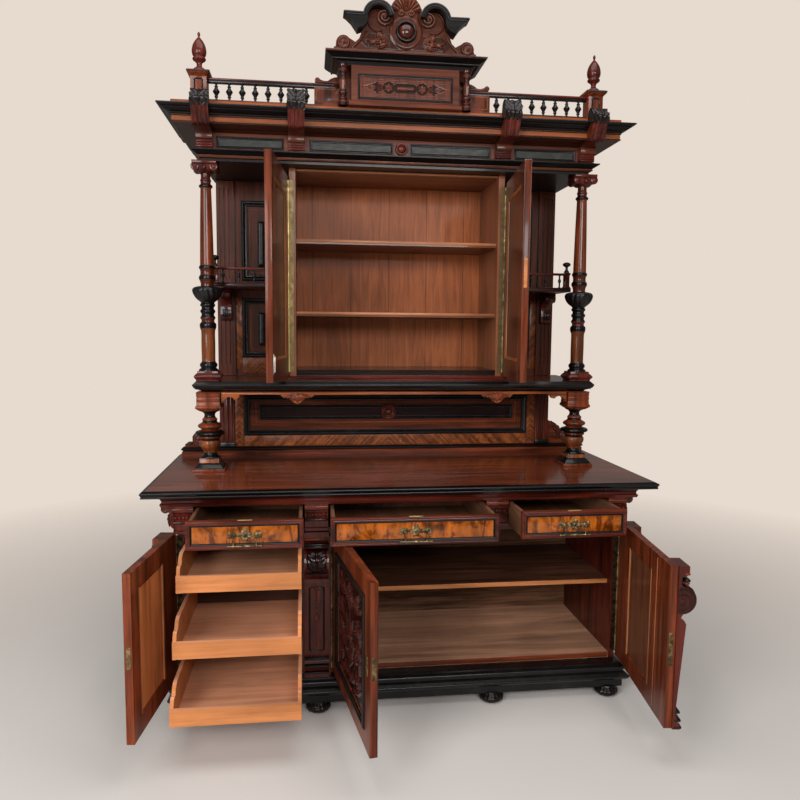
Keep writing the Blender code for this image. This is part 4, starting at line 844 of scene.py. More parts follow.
def boards_tone(recipe):
    place = recipe.math("FRACT", recipe.math("DIVIDE", recipe.math("ADD", recipe.at("X"), 0.52), 0.172))
    seam = recipe.ramp(place, [(0.006, 0.5), (0.016, 1.0), (0.984, 1.0), (0.994, 0.5)])
    return recipe.darken((0.44, 0.13, 0.046), seam)


def tray_tone_with_painted_light(back):
    """Oak with painted light and shade: faces that look up, such as the bottom, are paler, and all behind
    the back is near black, for the shade of the interior.
    """
    def tone(recipe):
        # Painted light: paler on faces that look up.
        pale = recipe.mix(recipe.above(recipe.facing("Z"), 0.9), tint("oak"), (0.78, 0.36, 0.2))
        # Painted shade: near black behind the back.
        return recipe.mix(recipe.above("Y", back), pale, (0.075, 0.03, 0.018))

    return tone


def column_tone(recipe):
    neck = ARCHITRAVE_Z - 0.098 - SHELF_Z
    return bands(recipe, SHELF_Z, (0.0, "ebony"), (0.074, "amber", 0.62), (0.206, "ebony"), (0.231, "dark"),
        (0.248, "ebony"), (0.372, "red", 0.5), (0.398, "ebony"), (0.414, "red", 0.5), (0.438, "ebony"),
        (0.452, "red"), (neck + 0.001, "ebony"), (neck + 0.013, "dark"))


def baluster_tone(recipe):
    return bands(recipe, TOP_Z, (0.0, "red", 0.9), (0.011, "ebony"), (0.033, "amber"), (0.047, "ebony"),
        (0.072, "amber", 0.7), (0.121, "ebony"), (0.128, "red", 0.6), (0.137, "ebony"), (0.16, "red", 0.8),
        (0.192, "ebony"), (0.202, "red"), (0.212, "ebony"), (0.241, "red", 0.85))


class BUFFET_OT_finishes(bpy.types.Operator):
    """Mixes the finishes and gives each carried-over solid its own"""

    bl_idname = "buffet.finishes"
    bl_label = "Finish the solids"

    def execute(self, context):
        dull = (0.42, 0.62)
        # Each carved finish below takes a colour and a darker one for its hollows, which is painted shade.
        STOCK.update(black=ebonised("ebonised_wood"), walnut=wood("walnut_upright", "walnut"),
            walnut_level=wood("walnut_level", "walnut", "x"), red=wood("red_walnut_upright", "red"),
            red_level=wood("red_walnut_level", "red", "x"), dark=wood("dark_walnut", "dark", coat=0.3),
            dark_level=wood("dark_walnut_level", "dark", "x", coat=0.3), amber=wood("amber_lath_level",
            "amber", "x", contrast=0.7), amber_upright=wood("amber_lath_upright", "amber", contrast=0.7),
            ceiling=wood("ceiling_wood", (0.4, 0.15, 0.07), "x", (0.4, 0.6), 0.03, 0.5),
            # shelf_lath: a pale edge, lightened further as a painted highlight along the shelves' top line.
            shelf_lath=wood("shelf_lath_wood", (0.56, 0.215, 0.095), "x", contrast=0.5),
            oak=wood("oak_level", "oak", "x", dull, 0.04, 0.55), inside=wood("inside_wood",
            (0.24, 0.105, 0.056), "y", (0.45, 0.62), 0.02, 0.5), inside_dark=wood("inside_dark",
            (0.17, 0.065, 0.036), "x", (0.45, 0.62), 0.05), brass=aged_brass("aged_brass", "brass", 0.8),
            # bright_brass: paler, less tarnished brass; on the upper left door's hinge it is a painted
            # reflection, the right hinge keeping the dull brass.
            bright_brass=aged_brass("worn_brass", (0.85, 0.6, 0.22), 0.15),
            pale_metal=aged_brass("pale_metal", (0.82, 0.78, 0.72), 0.1), carved=carved("carved_walnut",
            tint("walnut", 0.8), tint("walnut", 0.16), 0.012), carved_dark=carved("carved_dark_walnut",
            "dark", tint("dark", 0.12), 0.009, coat=0.3), carved_panel=carved("carved_panel",
            (0.06, 0.012, 0.01), (0.01, 0.004, 0.004), 0.009, (0.14, 0.26), 0.6),
            carved_tablet=carved("carved_tablet", tint("walnut", 0.8), tint("walnut", 0.05), 0.0062),
            carved_red=carved("carved_red_walnut", "red", tint("red", 0.25), 0.008),
            carved_black=carved("carved_ebony", (0.03, 0.014, 0.011), (0.012, 0.007, 0.006), 0.008),
            colonnette=wood("colonnette_wood", tint("dark", 0.55), coat=0.5),
            bright_lath=wood("bright_lath_wood", (0.6, 0.225, 0.09), contrast=0.5))
        by_slot = {"walnut": "walnut", "red_walnut": "red", "oak": "oak", "ebonised": "black",
            "burr": "red_level", "brass": "brass"}
        for node, slot in SLOTS.items():
            dress(by_slot[slot], node)
        dress(wood("slab_wood", slab_tone, "x", (0.14, 0.26), 0.35, 0.9), "base_top")
        dress(wood("hutch_shelf_wood", shelf_tone, "x", (0.18, 0.32), 0.4), "hutch_shelf")
        dress(wood("cornice_wood", cornice_tone, "x", contrast=0.6), "cornice")
        dress(wood("pediment_wood", pediment_tone, "x", contrast=0.8), "pediment")
        dress(wood("crest_wood", crest_tone, "x", contrast=0.6), "crest")
        dress(slate_panel("frieze_wood"), "frieze")
        dress(wood("niche_wood", niche_tone, "x"), "niche_back")
        dress("dark", "fixed_pilaster", "right_door_pilaster", "drawer_frame", "base_side_left",
            "base_side_right")
        for node in ("tray_1", "tray_2", "tray_3"):
            # Tray tones hold painted light on their bottoms and painted shade behind.
            dress(wood(f"{node}_wood", tray_tone_with_painted_light(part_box(node)[1].y - 0.016), "x", dull, 0.04, 0.32), node)
        for word in ("left", "right"):
            side_wood = wood(f"cupboard_side_wood_{word}", (0.33, 0.115, 0.052), contrast=0.5)
            dress(side_wood, f"cupboard_side_{word}")
        dress("inside", "left_drawer_box", "middle_drawer_box", "right_drawer_box")
        dress(wood("bottom_board", (0.78, 0.4, 0.24), "x", (0.4, 0.6), 0.05, 0.55, 0.6), "base_bottom")
        dress("inside_dark", "base_shelf", "base_divider")
        shelf_wood = wood("cupboard_shelf_wood", (0.22, 0.075, 0.033), "x", contrast=0.6)
        dress(shelf_wood, "cupboard_shelf_1", "cupboard_shelf_2")
        dress(wood("cupboard_back_wood", boards_tone, "z", (0.4, 0.6), 0.03, 0.45, 1.7), "cupboard_back")
        dress(wood("back_board_wood", (0.3, 0.14, 0.075), "x", (0.5, 0.7), 0.0), "base_back")
        dress(wood("wing_wood", tint("walnut", 0.75), contrast=0.7), "wing_panel_left", "wing_panel_right")
        dress(wood("door_panel_wood", (0.66, 0.205, 0.066), contrast=0.6), "left_door_panel")
        dress("red", "left_door_frame", "right_door_frame", "middle_door_frame")
        dress(wood("right_panel_wood", (0.17, 0.056, 0.026), contrast=0.6), "right_door_panel")
        dull_brass = aged_brass("dull_brass", tint("brass", 0.3), 0.8)
        dress(dull_brass, "left_door_hinge", "middle_door_hinge", "right_door_hinge")
        leaf_brass = aged_brass("leaf_brass", tint("brass", 0.55), 0.3)
        dress(leaf_brass, "upper_door_left_hinge", "upper_door_right_hinge")
        return {"FINISHED"}


BOSS = (0.0, 2.541)
HOOD = (0.1065, 2.578)


def crest_carving(u, v):
    a = np.abs(u)
    roundel = (0.234, 2.4925)
    return highest(plateau(0.064 - np.hypot(u, v - BOSS[1]), 0.01, 0.006), plateau(boxed(u, v, (-0.05, 0.05),
        (2.545, 2.64)), 0.01, 0.005), each(ring, u, v, ((BOSS, 0.035, 0.01, 0.017),
        (BOSS, 0.027, 0.004, 0.013))), each(dome, u, v, ((BOSS, 0.024, 0.02), (BOSS, 0.005, 0.024),
        (BOSS, 0.04, 0.013))), plateau(np.minimum(0.172 - a - 1.1 * np.abs(v - 2.5),
        np.minimum(v - 2.474, 2.536 - v)), 0.006, 0.0022), each(leaf, a, v, (((0.062, 2.497), 4, 0.095,
        0.01), ((0.066, 2.503), 38, 0.06, 0.011), ((0.07, 2.494), -22, 0.052, 0.009),
        ((0.096, 2.505), 62, 0.034, 0.009), ((0.108, 2.494), 20, 0.05, 0.008), ((0.112, 2.504), -30, 0.036,
        0.007)), 0.012), volute(a, v, (0.098, 2.521), 0.011, 0.008, 1, 1.6), volute(a, v, (0.082, 2.588),
        0.029, 0.024, -1), ring(a, v, HOOD, 0.037, 0.006, 0.008) * (a > 0.09), ridge(a, v, (0.15, 2.537),
        (0.176, 2.5), 0.008, 0.007), ridge(a, v, (0.176, 2.5), (0.2, 2.478), 0.008, 0.006),
        ring(a, v, roundel, 0.0185, 0.009, 0.011), each(dome, a, v, ((roundel, 0.011, 0.01),
        (roundel, 0.004, 0.013), (roundel, 0.023, 0.007))), plateau(boxed(u, v, (-0.27, 0.27),
        (2.4515, 2.477)), 0.004, 0.006), shell(u, v, (0.0, 2.606), 0.058, 0.018), volute(a, v, (0.019, 2.61),
        0.013, 0.015, 1, 1.6))


def hood_bead(name, side, offset, radius, ahead):
    """A bead that follows a hood of the crest: along the wing, then over the scroll."""
    path = [(0.235 - offset, 2.5915 - offset), (0.165, 2.5905 - offset)]
    reach = 0.0575 - offset
    for i in range(17):
        angle = radians(12 + 10 * i)
        path.append((HOOD[0] + reach * cos(angle), HOOD[1] + reach * 1.03 * sin(angle)))

    def follow(across, along):
        way = picked(np.gradient(np.array(path), axis=0), across)
        way_x, way_z = (way / np.linalg.norm(way, axis=1)[:, None]).T
        x, z = picked(path, across).T
        angle = 2 * pi * along
        lift, out = radius * np.sin(angle), radius * np.cos(angle)
        return np.stack([side * (x - way_z * lift), CREST_FRONT - ahead + out, z + way_x * lift], axis=1)

    sheet(len(path) - 1, 10, follow, fill=True)
    piece(name, "black")


class BUFFET_OT_crest(bpy.types.Operator):
    """Carves the crest: shell, boss, scrolls, leaves and roundels, under two hoods"""

    bl_idname = "buffet.crest"
    bl_label = "Carve the crest"

    def execute(self, context):
        relief("crest_carving", (-0.272, 0.272), (2.451, 2.668), CREST_FRONT, 0.0019, crest_carving,
            "carved")
        lines = ((0.0025, 0.0042, 0.04), (0.0095, 0.0028, 0.04), (0.0025, 0.003, 0.025))
        for side, word in SIDES:
            for number, line in enumerate(lines, 1):
                hood_bead(f"crest_hood_bead_{word}_{number}", side, *line)
        centre = (BOSS[0], CREST_FRONT - 0.006, BOSS[1])
        stone = ((26.5, 0), (26.5, 8), (23, 14), (14, 19.5), (3, 21.5))
        turned("crest_cabochon", mm(stone), centre, "colonnette", axis="y")
        rim = ((29, 0), (30, 11.5), (34.5, 15), (39, 12), (40, 0))
        turned("crest_boss_ring", mm(rim), centre, "black", steps=48, axis="y")
        return {"FINISHED"}


def tablet_carving(u, v):
    """Incised tablet of the pediment: rails, a rosette, palms and a bar, in sunk beds."""
    a = np.abs(u)
    low, high, middle = 2.2945, 2.3785, 2.3365
    b = v - middle
    bar = np.hypot(np.clip(a - 0.028, 0, 1), b)
    point = np.minimum(a - 0.106, 0.02 * (1 - (a - 0.106) / 0.056) - np.abs(b))
    beds = highest(0.0155 - bar, 0.0205 - np.hypot(a - 0.0635, b), 0.0105 - np.hypot(a - 0.0975, b), point)
    field = boxed(u, v, (-0.174, 0.174), (low + 0.002, high - 0.002)) > 0
    rail = boxed(u, v, (-0.171, 0.171), (low + 0.006, high - 0.006))
    lines = [((-0.155, z), (0.155, z)) for z in (-0.026, -0.032, 0.026, 0.032)]
    petals = [((0.0635, 0.0), 60 * i + 30, 0.02, 0.0062, 0.007) for i in range(6)]
    return highest(plateau(0.005 - np.abs(rail), 0.003, 0.0035), each(ridge, u, b, lines, 0.0035, 0.006),
        0.0044 * np.clip(-beds / 0.0016, 0, 1) * field, plateau(0.0085 - bar, 0.006, 0.007),
        each(leaf, a, b, petals, 2), dome(a, b, (0.0635, 0.0), 0.005, 0.008),
        ring(a, b, (0.0975, 0.0), 0.0075, 0.0045, 0.005), dome(a, b, (0.0975, 0.0), 0.004, 0.005),
        leaf(a, b, (0.108, 0.0), 0, 0.05, 0.008, 0.006), each(leaf, a, b, (((0.11, 0.004), 14),
        ((0.11, -0.004), -14)), 0.04, 0.006, 0.0045, 2), each(ridge, a, b, (((0.112, 0.017), (0.158, 0.001)),
        ((0.112, -0.017), (0.158, -0.001))), 0.005, 0.0045))


def pediment_scroll():
    rail = CORNICE_TOP + 0.096
    sweep = mm(((-206, -1), (-206, 56), (-214, 46), (-226, 34), (-246, 26), (-266, 24), (-280, 18),
        (-290, 10), (-304, 9), (-318, 13)), rail)
    for angle in range(40, 271, 23):
        turn = radians(angle)
        sweep.append((-0.33 + 0.01 * cos(turn), rail + 0.011 + 0.01 * sin(turn)))
    span = (PEDESTAL_FRONT + 0.064, PEDESTAL_FRONT + 0.088)
    cut_board("pediment_scroll_left", sweep, "y", span, "walnut", 0.003)


class BUFFET_OT_pediment(bpy.types.Operator):
    """Adds the pediment's tablet, colonnettes, crown beads and scroll buttons"""

    bl_idname = "buffet.pediment"
    bl_label = "Dress the pediment"

    def execute(self, context):
        relief("pediment_tablet", (-0.176, 0.176), (2.2945, 2.3785), PEDESTAL_FRONT + 0.006, 0.0012,
            tablet_carving, "carved_tablet")
        mitred("pediment_tablet_frame", rectangle((-0.181, 0.181), (2.2905, 2.3825)), PEDESTAL_FRONT,
            ovolo(0.008, 0.004, -0.005), "black")
        run = (0.27, PEDESTAL_FRONT - 0.02, PEDESTAL_FRONT + 0.15)
        section = half_round(0.004, PEDIMENT_TOP - 0.0265, PEDIMENT_TOP - 0.0195, 0.004)
        moulding_run("pediment_crown_bead", *run, section, "black")
        section = half_round(0.03, PEDIMENT_TOP - 0.0055, PEDIMENT_TOP - 0.0002, 0.0025)
        moulding_run("pediment_crown_lath", *run, section, "walnut_level", "walnut")
        rings = ((17.9, 0), (17.9, 0.09), (12.4, 0.115), (15.4, 0.14), (17.4, 0.17), (12.4, 0.2),
            (9.4, 0.225), (14.4, 0.26), (17.4, 0.3), (15.4, 0.335), (10.4, 0.36), (12.9, 0.38), (10.4, 0.4),
            (11.4, 0.46), (13.4, 0.58), (10.9, 0.69), (9.9, 0.76), (15.9, 0.8), (15.9, 0.83), (11.4, 0.85),
            (16.4, 0.89), (18.9, 0.94), (18.9, 1))
        profile = stretched(rings, CORNICE_TOP, PEDIMENT_TOP - 0.032 - CORNICE_TOP)
        for side, word in SIDES:
            turned(f"pediment_colonnette_{word}", profile, (side * 0.236, PEDESTAL_FRONT + 0.01),
                "colonnette")
        paired(pediment_scroll)
        return {"FINISHED"}


def left_column():
    spot = x, y = (-0.7615, 0.3955)
    tone = wood("column_wood", column_tone, coat=0.3)
    base = ((44, 0), (44, 6), (52, 17), (52, 20), (44, 30), (40, 32), (40, 40))
    lower = ((38, 36), (38, 46), (30, 50), (30, 54), (34, 58), (34, 68), (27, 74), (26, 84), (27, 140),
        (26, 198), (30, 206), (32, 214), (32, 226), (25, 232), (24, 240), (29, 246), (29, 252), (24, 258),
        (24, 266), (29, 271), (29, 278), (24, 283), (23, 291), (29, 296), (29, 302), (25, 306), (25, 314))
    bulb = ((25, 308), (30, 313), (41, 321), (51, 334), (57, 349), (58, 359), (53, 367), (40, 371),
        (27, 373))
    neck = (ARCHITRAVE_Z - 0.098 - SHELF_Z) * 1000
    upper = ((26, 370), (25, 380), (27, 392), (32, 399), (32, 411), (26, 415), (26, 436), (31, 440),
        (31, 449), (26.5, 453), (26.5, 462), (24, 0.5 * (neck + 462)), (20.5, neck - 6), (20, neck),
        (26, neck + 3), (26, neck + 11), (19, neck + 14), (19, neck + 24), (21, neck + 27), (21, neck + 31),
        (18, neck + 34), (18, neck + 56))

    def gadroon(angle, way):
        inside = np.clip(np.minimum(way - SHELF_Z - 0.314, SHELF_Z + 0.367 - way) / 0.012, 0, 1)
        twist = 7 * angle + 40 * (way - SHELF_Z)
        return 1 + inside * (0.075 * np.abs(np.cos(twist)) - 0.055)

    square_stack("column_base_left", spot, mm(base, SHELF_Z), "dark")
    turned("column_foot_left", mm(lower, SHELF_Z), spot, tone)
    turned("column_bulb_left", mm(bulb, SHELF_Z), spot, "black", steps=112, lobes=gadroon)
    turned("column_shaft_left", mm(upper, SHELF_Z), spot, tone)
    crown = ((20, -44), (30, -36), (37, -28), (40, -14), (46, -11), (46, 0))
    square_stack("column_crown_left", spot, mm(crown, ARCHITRAVE_Z), "dark")
    half = ((12.5, 8), (16, 30), (16, 40.5), (12.5, 40.5), (7, 42), (4, 44.5))
    roll = mm([*((r, -z) for r, z in reversed(half)), (12, 0), *half])
    for number, shift in ((1, -0.035), (2, 0.035)):
        turned(f"column_scroll_left_{number}", roll, (x + shift, y, ARCHITRAVE_Z - 0.022), "dark", steps=28,
            rounds=1, axis="y")
    boss = ((0.5, 49.5), (6, 48), (8, 44), (8, 38))
    turned("column_boss_left", mm(boss), (x, y, ARCHITRAVE_Z - 0.027), "dark", steps=20, axis="y")


def left_baluster():
    spot = (-0.762, 0.405)
    tone = wood("baluster_wood", baluster_tone, coat=0.3)
    base = ((62, 0), (62, 10), (56, 12), (56, 14), (44, 29), (38.5, 33), (38.5, 52))
    rings = ((37, 48), (37, 58), (28, 63), (24, 72), (28, 84), (39, 98), (43, 112), (41, 124), (34, 130),
        (44, 135), (44, 142), (40, 145), (58, 149), (58, 161), (40, 167), (30, 171), (46, 179), (48, 189),
        (34, 197), (27, 203), (31, 213), (22, 221), (20, 233), (27, 243), (40, 247), (40, 258))
    crown = ((33, -76), (42, -70), (49.5, -64), (49.5, -56), (45.5, -52), (45.5, -40), (44, -38.5),
        (44, -36.5), (45.5, -35), (45.5, -22), (44, -20.5), (44, -18.5), (45.5, -17), (45.5, -4), (47.5, -2),
        (47.5, 0))
    square_stack("baluster_base_left", spot, mm(base, TOP_Z), tone)
    turned("baluster_turning_left", stretched(rings, TOP_Z, (SHELF_UNDER - 0.067 - TOP_Z) / 258), spot, tone,
        steps=48)
    square_stack("baluster_crown_left", spot, mm(crown, SHELF_UNDER), "red")


class BUFFET_OT_columns(bpy.types.Operator):
    """Turns the two columns and the two balusters with their blocks and capitals"""

    bl_idname = "buffet.columns"
    bl_label = "Turn the columns"

    def execute(self, context):
        paired(left_column, "column")
        paired(left_baluster, "baluster")
        return {"FINISHED"}


def left_balustrade():
    low, y, x = CORNICE_TOP, FRIEZE_FRONT - 0.036, -0.7685
    rail, span = low + 0.096, (-0.738, -0.217)
    lath("balustrade_bottom_left", span, (y - 0.016, y + 0.016), (low, low + 0.018), "walnut_level",
        edge=0.003)
    lath("balustrade_rail_left", span, (y - 0.012, y + 0.012), (rail - 0.016, rail - 0.007), "black")
    lath("balustrade_top_left", span, (y - 0.015, y + 0.015), (rail - 0.0075, rail), "dark_level",
        edge=0.003)
    end = (-0.342, -0.217)
    lath("balustrade_end_left", end, (y - 0.014, y + 0.014), (low + 0.017, rail - 0.015), "walnut")
    mitred("balustrade_inlay_left", clipped((-0.335, -0.224), (low + 0.025, rail - 0.022), 0.008), y - 0.014,
        bead(0.0013), "amber_upright")
    shape = ((7, 0), (7, 0.06), (4, 0.1), (4, 0.16), (7, 0.2), (7, 0.24), (4.5, 0.28), (13, 0.5),
        (13.4, 0.52), (4.5, 0.72), (7, 0.77), (7, 0.81), (4, 0.85), (4, 0.9), (7, 0.94), (7, 1))
    spindle = stretched(shape, low + 0.016, rail - 0.014 - low - 0.016)
    first = turned("balustrade_spindle_left_1", spindle, (-0.372, y), "black", steps=20, rounds=1)
    row(first, 8, (-0.048, 0.0, 0.0))
    post = ((36, 0), (36, 9), (34, 11), (30, 15), (30, 20), (30, 94), (32, 96), (36, 101), (38, 102),
        (42, 107), (42, 114), (38, 116))
    square_stack("balustrade_post_left", (x, y), mm(post, low), "red")
    mitred("balustrade_post_panel_left", clipped((x - 0.017, x + 0.017), (low + 0.026, low + 0.088), 0.006),
        y - 0.03, ovolo(0.006, 0.003), "black")
    mitred("balustrade_post_cap_left", rectangle((x - 0.0425, x + 0.0425), (low + 0.1075, low + 0.1135)),
        y - 0.042, bead(0.0018), "black")
    acorn = ((26, -3), (26, 5), (22, 9), (22, 12), (12, 17), (9, 26), (12, 36), (24, 43), (25, 50), (20, 53),
        (20, 56), (25, 61), (27.5, 76), (24, 95), (16, 111), (7, 122), (4, 126), (3, 129), (5.5, 134),
        (5, 140), (2, 145))
    turned("balustrade_acorn_left", mm(acorn, low + 0.116), (x, y), "dark", steps=36)


class BUFFET_OT_balustrades(bpy.types.Operator):
    """Builds the two balustrades with their beads, end panels, corner posts and acorns"""

    bl_idname = "buffet.balustrades"
    bl_label = "Build the balustrades"

    def execute(self, context):
        paired(left_balustrade, "balustrade")
        return {"FINISHED"}


def wing_shelf():
    z, front, back = SHELF_Z + 0.396, 0.49, 0.7307
    inner, outer = -0.4426, -0.763
    rail = z + 0.052
    lath("wing_shelf_board_left", (outer, inner), (front + 0.004, back), (z - 0.018, z), "dark_level",
        edge=0.003)
    for number, at in ((1, z - 0.004), (2, z - 0.014)):
        lath(f"wing_shelf_edge_left_{number}", (outer, inner), (front, front + 0.008),
            (at - 0.003, at + 0.003), "black", edge=0.0028)
    lath("wing_shelf_rail_left", (outer + 0.004, inner), (front + 0.004, front + 0.02), (rail, rail + 0.01),
        "dark_level", edge=0.004)
    shape = ((5, 0), (5, 0.08), (2.5, 0.14), (4, 0.24), (2.5, 0.34), (8, 0.55), (2.5, 0.76), (4, 0.86),
        (2.5, 0.92), (5, 0.96), (5, 1))
    first = turned("wing_shelf_spindle_left_1", stretched(shape, z - 0.001, 0.054),
        (inner - 0.02, front + 0.012), "black", steps=16, rounds=1)
    row(first, 5, ((outer + 0.07 - inner) / 4, 0.0, 0.0))
    spot = (outer + 0.018, front + 0.016)
    post = ((14, -2), (14, 4), (11, 6), (11, 54), (14, 56), (14, 64))
    square_stack("wing_shelf_post_left", spot, mm(post, z), "dark")
    knob = ((11, -2), (11, 7), (6, 12), (5, 20), (6, 26), (14, 29), (18, 36), (15, 41), (8, 45), (2, 46))
    turned("wing_shelf_knob_left", mm(knob, rail + 0.012), spot, "black", steps=28)
    turns = [radians(angle) for angle in range(150, 301, 15)]
    hook = [(0, -18), (-82, -18), (-87, -30),
        *((-68 + 19 * cos(turn), -40 + 19 * sin(turn)) for turn in turns), (-46, -62), (-34, -72),
        (-26, -84), (-24, -96), (-30, -112), (-29, -138), (-24, -150), (0, -152)]
    hook = [(back + out / 1000, z + up / 1000) for out, up in hook]
    cut_board("wing_shelf_bracket_left", hook, "x", (outer + 0.014, outer + 0.062), "dark")
    for number, share in enumerate((0.26, 0.42, 0.58, 0.74), 1):
        x = outer + 0.014 + 0.048 * share
        lath(f"wing_shelf_reed_left_{number}", (x - 0.003, x + 0.003), (back - 0.0335, back - 0.02),
            (z - 0.14, z - 0.104), "carved_black", edge=0.0028)


def wing_panel(number, start, end, bar_start, bar_end):
    tall = ARCHITRAVE_Z - SHELF_Z
    xs, zs = (-0.655, -0.4923), (SHELF_Z + start * tall, SHELF_Z + end * tall)
    mitred(f"wing_frame_left_{number}", rectangle(xs, zs, 0.004), WING_FRONT, ovolo(0.022, 0.009, -0.011),
        "black")
    mitred(f"wing_inlay_left_{number}", clipped(xs, zs, 0.012, 0.03), WING_FRONT + 0.012, bead(0.0012),
        "amber_upright")
    middle = (xs[0] + xs[1]) / 2
    bar = ((middle - 0.015, middle + 0.015), (SHELF_Z + bar_start * tall, SHELF_Z + bar_end * tall))

    def pyramid(u, v):
        return np.clip(0.02 + 0.45 * boxed(u, v, *bar), 0, 0.024) * (boxed(u, v, *bar) > -0.0005)

    relief(f"wing_cabochon_left_{number}", *bar, WING_FRONT + 0.012, 0.002, pyramid, "black", depth=0.004)


def wing_panels():
    wing_panel(1, 0.1, 0.4, 0.16, 0.33)
    wing_panel(2, 0.5, 0.9, 0.57, 0.8)
    tall = 0.42 * (ARCHITRAVE_Z - SHELF_Z)
    strips = ((-0.6875, -0.66, 0.03, tall, 0.6875), (-0.4875, -0.444, 0.03, tall, 0.444),
        (-0.6595, -0.488, 0.012, 0.078, 0.5737))
    for number, (x0, x1, z0, z1, middle) in enumerate(strips, 1):
        band = herringbone(f"herringbone_wing_{number}", tint("amber", 0.8), middle)
        lath(f"wing_band_left_{number}", (x0, x1), (WING_FRONT - 0.0008, WING_FRONT + 0.001),
            (SHELF_Z + z0, SHELF_Z + z1), band, edge=0.0004)
    foot = mm(((5.5, -2), (5.5, 4), (4, 7), (2, 8)))
    for i in range(3):
        turned(f"wing_flute_foot_left_{i + 1}", foot, (-0.708 - 0.019 * i, WING_FRONT, SHELF_Z + 0.075),
            "amber_upright", steps=16, axis="y")


class BUFFET_OT_wings(bpy.types.Operator):
    """Builds the wing shelves with their galleries and dresses the wing panels"""

    bl_idname = "buffet.wings"
    bl_label = "Dress the wings"

    def execute(self, context):
        paired(wing_shelf, "wing_shelf")
        paired(wing_panels)
        return {"FINISHED"}


def along_line(path, share):
    """Points on a broken line, evenly spaced."""
    path = np.array(path)
    far = np.concatenate([[0.0], np.cumsum(np.hypot(*np.diff(path, axis=0).T))])
    return np.stack([np.interp(share * far[-1], far, path[:, i]) for i in (0, 1)], axis=1)


CONSOLE_HALF = 0.061 / 2


def console_skin(x, path, height):
    """A thin shell over a console: height gives the lift and the half width of its points."""
    line = [(FRIEZE_FRONT - out / 1000, CORNICE_Z + z) for out, z in path]

    def bend(across, along):
        spot = along_line(line, along)
        ahead = along_line(line, np.clip(along + 0.01, 0, 1)) - along_line(line, np.clip(along - 0.01, 0, 1))
        ahead /= np.linalg.norm(ahead, axis=1)[:, None]
        u = 2 * across - 1
        lift, wide = height(u, along)
        return np.stack([x + u * wide, spot[:, 0] - ahead[:, 1] * lift, spot[:, 1] + ahead[:, 0] * lift],
            axis=1)

    shell_of(26, 40, bend)


def grooves(u, v):
    tongue = sum(np.clip(1 - ((np.abs(u) - at) / wide) ** 2, 0, 1) for at, wide in ((0.25, 0.1),
        (0.75, 0.08)))
    return 0.0008 + 0.0022 * tongue * (v > 0.55), CONSOLE_HALF * np.ones_like(u)


def acanthus(u, v):
    a = np.abs(u)
    rib = 0.0035 * np.exp(-(u / 0.1) ** 2)
    vein = 0.0022 * np.abs(np.cos(5.5 * pi * (v * 0.9 - 0.35 * a))) * np.clip(a * 2.5, 0, 1)
    edge = 0.002 * np.clip((a - 0.62) / 0.3, 0, 1)
    wide = CONSOLE_HALF * (1.1 - 0.3 * v ** 3) * (0.93 + 0.1 * np.abs(np.sin(4.0 * pi * v)))
    return 0.0014 + rib + vein + edge, wide


def console(name, x, top):
    body = ((24, -0.004), (105, 0.001), (121, 0.006), (127, 0.016), (137, 0.04), (147, 0.066))
    blade = ((146, 0.058), (152, 0.07), (157, 0.082), (155, 0.093), (146, 0.8 * top), (130, top - 0.003),
        (116, top + 0.001), (104, top - 0.006), (96, top - 0.02))
    console_skin(x, body, grooves)
    piece(f"{name}_body", "dark")
    console_skin(x, blade, acanthus)
    piece(f"{name}_leaf", "carved_black", angle=50.0)
    half, y = CONSOLE_HALF, FRIEZE_FRONT - 0.034
    lath(f"{name}_block", (x - half - 0.0015, x + half + 0.0015), (y - 0.002, y + 0.03),
        (CORNICE_Z - 0.029, CORNICE_Z - 0.004), "walnut_level", edge=0.003)
    y = FRIEZE_FRONT - 0.024
    first = lath(f"{name}_reed_1", (x - half, x + half), (y - 0.0045, y + 0.004),
        (CORNICE_Z - 0.0415, CORNICE_Z - 0.033), "dark_level", edge=0.0042)
    row(first, 4, (0.0, 0.0, -0.0095))


def left_consoles():
    console("console_corner_left", -0.757, 0.118)
    console("console_inner_left", -0.41, 0.134)
    knob = mm(((12, -4), (12, 3), (6, 6), (9, 10), (6, 14), (1, 15)))
    turned("console_knob_left", knob, (-0.41, FRIEZE_FRONT - 0.134, CORNICE_Z + 0.098), "dark", steps=24,
        axis="y")


def frieze_frames():
    zs = (FRIEZE_Z + 0.006, CORNICE_Z - 0.015)
    for number, xs in ((1, (-0.358, -0.036)), (2, (-0.7125, -0.462))):
        mitred(f"frieze_frame_left_{number}", rectangle(xs, zs, 0.003), FRIEZE_FRONT,
            ovolo(0.009, 0.004, -0.0045), "black")


class BUFFET_OT_cornice(bpy.types.Operator):
    """Adds the consoles' leaves and reeds, the cornice beads and the frieze's edging"""

    bl_idname = "buffet.cornice"
    bl_label = "Dress the cornice"

    def execute(self, context):
        paired(left_consoles)
        run = (0.775, FRIEZE_FRONT, FRIEZE_FRONT + 0.36)
        bead_runs("cornice_bead", *run, CORNICE_Z, 0.003, ((0.09, 0.0115, 0.0165), (0.09, 0.0325, 0.0375),
            (0.134, 0.064, 0.0695), (0.119, 0.0545, 0.0585)))
        section = half_round(0.01, ARCHITRAVE_Z + 15.5 * ARCHITRAVE_UNIT,
            ARCHITRAVE_Z + 23 * ARCHITRAVE_UNIT, 0.0025)
        moulding_run("architrave_lath", *run, section, "walnut_level")
        paired(frieze_frames)
        stone = mm(((25, 0), (25, 10), (22, 13), (18, 12), (17, 15), (13, 21), (6, 24), (1, 24.5)))
        turned("frieze_cabochon", stone, (0.0, FRIEZE_FRONT + 0.003, (FRIEZE_Z + CORNICE_Z - 0.009) / 2),
            "dark", steps=36, axis="y")
        return {"FINISHED"}


